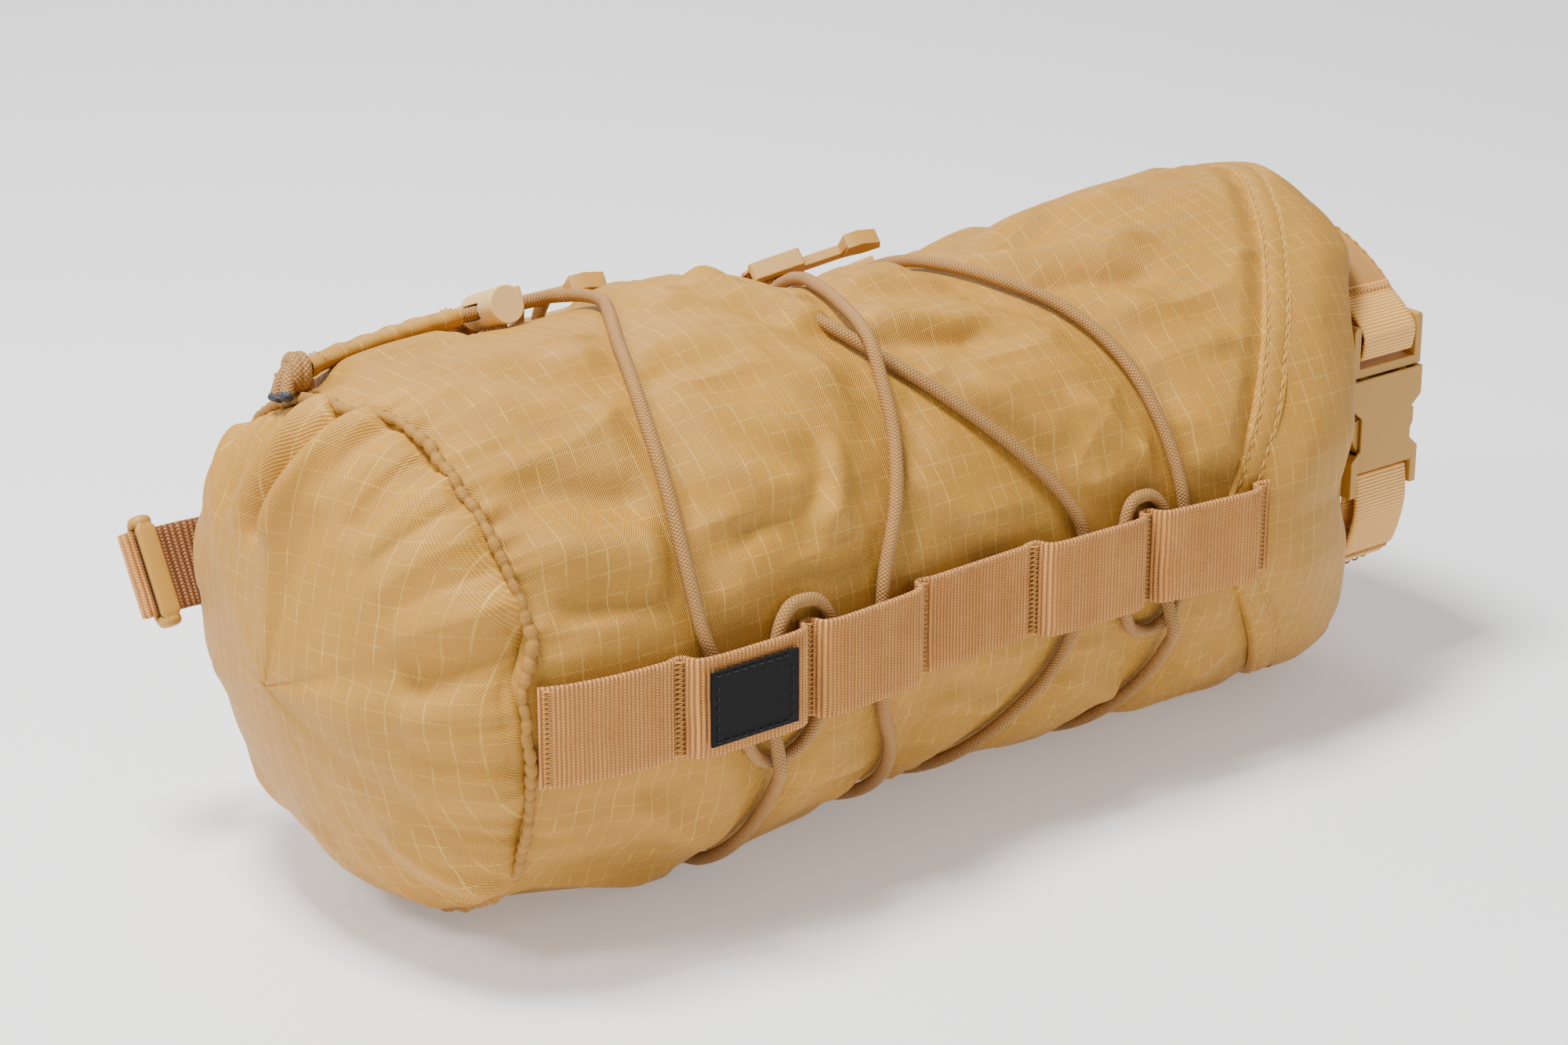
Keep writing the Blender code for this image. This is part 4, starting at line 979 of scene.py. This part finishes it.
def make_rear_strap():
    path = np.array([(22, 73.4, 3), (8, 72.6, 3.3), (-2, 72, 3.8), (-8, 71.6, 4.2), (-19.2, 71.6, 4.2)])
    centres = catmull_rom(world(*path.T), 8)
    blend = np.interp(centres[:, 0] / MM - SEAM_X, [-8, -2, 8, 22], [1, 0.7, 0.15, 0])[:, None]
    across = UP * (1 - blend) + STRAP_TILT * blend
    # The strap is drawn in the darker webbing copy, which is painted shade; its folded end below keeps the
    # plain webbing colours
    show(strap_mesh("strap_web", centres, across, STRAP_WIDTH, 1.4, step=0.18, rib=0.4, rib_pitch=1.6),
         SHADED_STRAP_WEB, "webbing", "rear_strap")
    start, thick = world(-19.4, 71.6, 4.2), STRAP_FLAT * 1.4 * MM
    turn = np.linspace(-math.pi / 2, math.pi / 2, 9)
    loop = [start - ALONG * (1.35 + 1.32 * math.cos(t)) * MM - thick * math.sin(t) for t in turn]
    loop = [start + thick, *loop, start - thick]
    show(strap_mesh("strap_fold", catmull_rom(loop, 4), STRAP_TILT, STRAP_WIDTH, 1.3, step=0.2, rib=0.3),
         WEBBING, "webbing", "rear_strap_hem")


def slider_bar(middle, wide, thick, size, square=1.0):
    """A bar of the slider: rounded rings round a line of points."""
    ring = np.linspace(0, math.tau, 24, endpoint=False)
    c, s = squared(np.cos(ring), square), squared(np.sin(ring), square)
    spread = (c * wide * size)[..., None] * ALONG + (s * thick * size)[..., None] * STRAP_FLAT
    return grid_mesh("bar", middle[:, None] + spread * MM, wrap=True, caps=True)


def make_slider():
    """The slider on the strap: a rounded frame whose broad front bar covers the strap."""
    centre, half = world(*SLIDER_AT), STRAP_WIDTH / 2 + 2.2
    run = np.linspace(-half, half, 40)[:, None]
    taper = 1 - 0.5 * ease((np.abs(run) - half + 2.6) / 2.6)
    pieces = []
    for x, out, wide, thick in ((0.0, 2.0, 2.8, 1.0), (-2.0, -1.9, 1.0, 0.9), (2.0, -1.9, 1.0, 0.9)):
        middle = centre + (run * STRAP_TILT + x * ALONG + out * STRAP_FLAT) * MM
        pieces.append(slider_bar(middle, wide, thick, taper, 0.6))
    run = np.linspace(-math.pi / 2, math.pi / 2, 20)[1:-1, None]
    for side in (-1, 1):
        middle = centre + (side * (half - 0.3) + 1.75 * np.sin(run)) * STRAP_TILT * MM
        pieces.append(slider_bar(middle, 3.1, 2.8, np.cos(run) ** 0.55))
    show(join_meshes("strap_bar", pieces), PLASTIC, "plastic", "strap_slider", body="slider")


def over_roll(angle):
    """(y, z) on the outside of the bent roll, where a tab is sewn to it."""
    radius, turn = ROLL_RADII[1] + GAP + 0.7, math.radians(angle)
    return -radius * math.cos(turn), ROLL_CENTRE_Z + radius * math.sin(turn)


def closure_tab_paths():
    near, far = CLOSURE_Y - 2.3, CLOSURE_Y + 2.3
    high, low = CLOSURE_BAR_Z, CLOSURE_BAR_Z - 38.7
    upper = [over_roll(49), over_roll(47.5), over_roll(45.5), (-43.0, 38.9), (near - 0.3, high + 4.6),
             (near, high - 0.6), (CLOSURE_Y - 1.3, high - 2.3), (CLOSURE_Y + 1.3, high - 2.3),
             (far, high - 0.6), (far + 0.3, high + 3.6), (-39.6, 36.2), (-36.8, 36.6)]
    lower = [over_roll(-44), over_roll(-40), over_roll(-36), (near - 0.3, low - 9), (near, low + 0.6),
             (CLOSURE_Y - 1.3, low + 2.3),
             (CLOSURE_Y + 1.3, low + 2.3), (far, low + 0.6), (far, low - 7), (-40.6, -22.6)]
    return {"upper": upper, "lower": lower}


# The buckles on tabs: where the bar is, which way the buckle points, the tab's (x, angle, lift) points
ATTACHMENTS = {
    "right": ((170.1, 56.0, 47.7), (0.89, -0.374, 0.256),
              [(156.0, 147, 7.5), (149.0, 153, 5.6), (142.0, 158, 3.1)]),
    "left": ((78.0, 56.0, 55.5), (0.888, -0.408, 0.181),
             [(66.0, 144, 9.0), (60.0, 150, 6.0), (54.0, 156, 3.1)]),
}


def make_attachment_tabs():
    """The webbing loops that hold the two male buckles on the sack's upper back."""
    for side, (bar, pointing, tab) in ATTACHMENTS.items():
        origin, along = world(*bar), unit(np.array(pointing))
        outward = unit(np.array([0, *bar[1:]]))
        outward = unit(outward - along * np.dot(outward, along))
        across = np.cross(along, outward)
        loop = [(-4.0, -2.5), (0.6, -2.5), (2.4, -1.2), (2.4, 1.2), (0.6, 2.5), (-3.0, 2.5), (-9.0, 1.6)]
        centres = [origin + (along * u + outward * v) * MM for u, v in loop]
        widths = [across] * len(centres)
        for x, angle, lift in tab:
            turn = math.radians(angle)
            normal = np.array([0, -math.cos(turn), math.sin(turn)])
            centres.append(skin(x, angle, lift))
            widths.append(across - normal * np.dot(across, normal))
        fine = catmull_rom(np.concatenate([np.array(centres), np.array(widths)], axis=1), 6)
        mesh = strap_mesh("buckle_tab_" + side, fine[:, :3], fine[:, 3:], TAB_WIDTH, 1.3, step=0.25, rib=0.25)
        show(mesh, WEBBING, "webbing", "attachment_tab_" + side)


def make_closure_tabs():
    tacks = []
    for end, path in closure_tab_paths().items():
        line = catmull_rom(np.array([world(CLOSURE_X, y, z) for y, z in path]), 8)
        mesh = strap_mesh("roll_tab_" + end, line, ALONG, TAB_WIDTH, 1.2, step=0.3)
        show(mesh, TAPE, "tape", "closure_tab_" + end)
    for (y, z), (y1, z1) in ((over_roll(48), over_roll(46)), (over_roll(-38), over_roll(-41))):
        along = unit(np.array([0, y1 - y, z1 - z]))
        out = np.cross(ALONG, along)
        out = out * np.sign(-out[1])
        centre = world(CLOSURE_X, (y + y1) / 2, (z + z1) / 2) + out * 0.55 * MM
        tacks.append(zigzag(centre, along, ALONG, out, 18.0, width=2.6, pitch=0.7))
    show(join_meshes("roll_tab_tacks", tacks), WEB_THREAD, "tape")


# ---- cord, knot, sleeve

# The melted end, ring by ring: (mm past the end of the cord, radius)
TIP_RINGS = [(-0.9, 1.72), (-0.2, 1.84), (0.5, 1.80), (0.9, 1.3), (0.75, 0.6)]


def make_knot():
    """The end knot: both strands wound round tightly, their cut and melted ends hanging out."""
    centre = around(-0.6, 109.0, 70.6)
    down = unit(np.array([-0.10, -0.30, -0.95]))
    axis = unit(np.array([0.80, 0.10, 0.30]) - down * np.dot(down, [0.80, 0.10, 0.30]))
    side = np.cross(axis, down)
    t = np.linspace(0, 2.35 * math.tau, 220)
    swing = 3.15 + 0.35 * np.sin(t * 0.9 + 1.0)
    drift = (t / t[-1] - 0.5) * 4.4
    line = centre + (axis * drift[:, None] + side * (swing * np.cos(t))[:, None]
                     + down * (swing * 1.05 * np.sin(t))[:, None]) * MM
    show(tube_mesh("knot", line, 1.75 * MM, sides=14), CORD, "cord", "cord_knot")
    for name, (lean, across) in {"a": (-0.34, -1.9), "b": (0.30, 1.7)}.items():
        start = centre + (side * across * 0.5 - axis * 1.0 - down * 1.4) * MM
        middle = centre + (side * across - axis * 3.2 + down * 1.6) * MM
        end = middle + unit(down + side * lean * 0.5 - axis * 0.42) * 4.8 * MM
        line = catmull_rom(np.array([start, middle, (middle + end) / 2, end]), 12)
        mesh = tube_mesh("cord_tail_" + name, line, CORD_RADIUS * MM, sides=14)
        show(mesh, CORD, "cord", "cord_end_" + name)
        along = unit(end - middle)
        ring = np.linspace(0, math.tau, 18, endpoint=False)
        sideways = unit(np.cross(along, [0.3, 0.9, 0.2]))
        other = np.cross(along, sideways)
        rows = []
        for step, (out, size) in enumerate(TIP_RINGS):
            rag = size * (1 + 0.10 * np.sin(ring * 5 + step * 1.7) + 0.06 * np.cos(ring * 9 + step))
            spread = (np.cos(ring) * rag)[:, None] * sideways + (np.sin(ring) * rag)[:, None] * other
            rows.append(end + (along * out + spread) * MM)
        show(grid_mesh("cord_tip_" + name, np.array(rows), wrap=True, caps=True), SEALED, "cord")


def make_sleeve():
    """The cloth tunnel round both cords, gathered along them."""
    middle = sum(CORD_ANGLES) / 2
    stations = catmull_rom([(4.5, 70.6), (12, 71.9), (20, 72.8), (28, 73.6), (38, 74.2), (48.5, 74.7)], 24)
    turn = math.tau * np.arange(56) / 56
    x, radius = stations[:, :1], stations[:, 1:]
    ruck = 0.42 * noise(x / 2.1, np.cos(turn) * 1.4 + 5, np.sin(turn) * 1.4, 71)
    pinch = 1 - 0.05 * np.sin(x * 0.8)
    angle = middle + np.degrees(4.7 * pinch * np.cos(turn) / radius)
    points = around(x, angle, radius + (2.55 * pinch + 0.6 * ruck) * np.sin(turn))
    across = np.concatenate([turn, [math.tau]]) * 4.2
    uv = stacked(x, across)
    show(grid_mesh("cord_tunnel", points, uv, wrap=True), RIPSTOP, "ripstop", "cord_sleeve")
    rows = []
    for at in (8.0, 46.6):
        radius = float(np.interp(at, stations[:, 0], stations[:, 1]))
        turn = np.linspace(-0.3, math.pi + 0.3, 60)
        line = around(at, middle + np.degrees(4.8 * np.cos(turn) / radius), radius + 2.7 * np.sin(turn))
        outer = around(at, middle + np.degrees(9.0 * np.cos(turn) / radius), radius + 7.0 * np.sin(turn))
        rows.append(dashes(line, outer - line, 1.6, 0.7, 0.22))
    show(join_meshes("tunnel_stitches", rows), SEAM_THREAD, "ripstop")


# ---- carried-over mouldings

# A wider edge inside the socket would rub on the squeezed prongs
CLOSURE_EDGES = {"closure_buckle_male": 1.0, "closure_buckle_female": 0.3}


def carry(node, material, edge=0.45, segments=3):
    """A CAD moulding shown as it is, with rounded edges and its own finish."""
    obj = frame["nodes"][node]
    obj.data.materials.clear()
    obj.data.materials.append(material)
    weld = obj.modifiers.new("weld", "WELD")
    weld.merge_threshold = 0.005 * MM
    flat = obj.modifiers.new("flat", "DECIMATE")
    flat.decimate_type = "DISSOLVE"
    flat.angle_limit = math.radians(2)
    round_edges = obj.modifiers.new("edges", "BEVEL")
    round_edges.width = edge * MM
    round_edges.segments = segments
    round_edges.limit_method = "ANGLE"
    round_edges.angle_limit = math.radians(35)
    round_edges.use_clamp_overlap = True
    obj.data.shade_smooth()
    shaded = obj.modifiers.new("shading", "WEIGHTED_NORMAL")
    shaded.keep_sharp = False


# ---- stage

def make_stage():
    floor = bpy.data.meshes.new("floor")
    floor.from_pydata([(-60, -60, 0), (60, -60, 0), (60, 60, 0), (-60, 60, 0)], [], [(0, 1, 2, 3)])
    floor.materials.append(stage_paint("floor_paint"))
    obj = add_object("floor", floor)
    obj.location.z = -0.0004


def area_light(name, at, target, size, power):
    data = bpy.data.lights.new(name, "AREA")
    data.shape = "RECTANGLE"
    data.size, data.size_y = size
    data.energy = power
    obj = add_object(name, data)
    obj.location = at
    obj.rotation_euler = (Vector(target) - Vector(at)).to_track_quat("-Z", "Y").to_euler()


def make_lights():
    area_light("overhead", (-0.35, 0.05, 1.2), (0, 0, 0.08), (0.35, 0.3), 25.5)
    area_light("front_left", (-1.1, -0.1, 1.1), (-0.12, 0, 0.07), (0.3, 0.3), 9.5)
    area_light("front_right", (1.1, -1.3, 0.75), (0.1, 0, 0.07), (0.7, 0.6), 4.2)
    area_light("back", (0.6, 1.2, 0.9), (0, 0, 0.1), (0.9, 0.6), 6.0)
    scene = bpy.context.scene
    scene.world = bpy.data.worlds.new("studio")
    scene.world.use_nodes = True
    background = scene.world.node_tree.nodes["Background"]
    background.inputs["Color"].default_value = (1.0, 1.0, 1.0, 1.0)
    background.inputs["Strength"].default_value = 0.36


def make_camera():
    data = bpy.data.cameras.new("camera")
    data.lens = CAMERA_LENS
    data.sensor_width = 36.0
    camera = add_object("camera", data)
    back = CAMERA_RIGHT.cross(CAMERA_UP).normalized()
    turned = Matrix((CAMERA_RIGHT.normalized(), CAMERA_UP.normalized(), back)).transposed()
    camera.matrix_world = Matrix.Translation(CAMERA_AT) @ turned.to_4x4()
    bpy.context.scene.camera = camera


# ---- build

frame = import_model()

RIPSTOP = ripstop("ripstop", (0.65, 0.330, 0.050), (0.33, 0.143, 0.016), (0.95, 0.66, 0.17))
SEAM_CLOTH = ripstop("seam_cloth", (0.46, 0.235, 0.048), (0.32, 0.15, 0.026), (0.6, 0.36, 0.10))
WEBBING = woven_strap("webbing", (1.0, 0.50, 0.13), (0.38, 0.138, 0.030))
# The rear strap's webbing: its own coarser weave, in a darker copy of the webbing's colours that paints shade
# on the strap
SHADED_STRAP_WEB = woven_strap("strap_webbing_painted_shade", (0.62, 0.26, 0.078), (0.12, 0.040, 0.010), rib=1.6, cross=1.8)
TAPE = fine_tape("fine_tape", (1.0, 0.56, 0.15), (0.74, 0.35, 0.070))
LAMINATE = laminate("laminate", (0.60, 0.300, 0.078), (0.45, 0.215, 0.052))
CORD = braid("shock_cord_sheath", (0.60, 0.315, 0.088), (0.17, 0.070, 0.017))
PLASTIC = moulded("moulded_tan", (0.52, 0.272, 0.052), (0.45, 0.235, 0.044))
LOCK_PLASTIC = moulded("moulded_pale", (0.78, 0.51, 0.19), (0.70, 0.45, 0.16))
SEAM_THREAD = thread("seam_thread", (0.78, 0.46, 0.12), (0.34, 0.16, 0.03))
WEB_THREAD = thread("web_thread", (0.92, 0.52, 0.15), (0.42, 0.19, 0.045))
LABEL = label_cloth("blank_label")
LABEL_THREAD = thread("label_thread", (0.02, 0.02, 0.022), (0.004, 0.004, 0.004))
STEEL = bright_steel("spring_steel")
SEALED = sealed_end("sealed_cord_end")

CORD_LINE = route_line()

ring_piece("body_fabric", body_rows, "body_tube", "packed_contents")
make_cap_fabric()
make_seam_bead()
ring_piece("hem_fabric", hem_rows, "hem_band")
ring_piece("collar_fabric", collar_rows, "collar")
make_hem_stitches()
make_rolled_mouth()
make_webbing("front", 0, (6.4, 235.5), {1, 2, 4, 5}, [8.4, *TACKS], step=0.18)
make_label()
make_back_panel()
make_webbing("rear", 180, (30.0, 233.0), {2, 4}, [32.0, *TACKS, 231.4], base=OVER_PANEL)
make_rear_strap()
make_slider()
make_attachment_tabs()
make_closure_tabs()
show(tube_mesh("shock_cord", CORD_LINE, CORD_RADIUS * MM, sides=14), CORD, "cord", "lacing_cord")
make_knot()
make_sleeve()

for cad_node, cad_object in frame["nodes"].items():
    if cad_object.hide_render:
        continue
    if cad_node == "cord_lock_spring":
        carry(cad_node, STEEL, edge=0.02, segments=1)
    elif cad_node.startswith("cord_lock"):
        carry(cad_node, LOCK_PLASTIC, edge=1.6, segments=6)
    elif cad_node.startswith("closure"):
        carry(cad_node, PLASTIC, edge=CLOSURE_EDGES.get(cad_node, 0.45))
    else:
        carry(cad_node, PLASTIC)

make_stage()
make_lights()
make_camera()

bpy.context.view_layer.update()
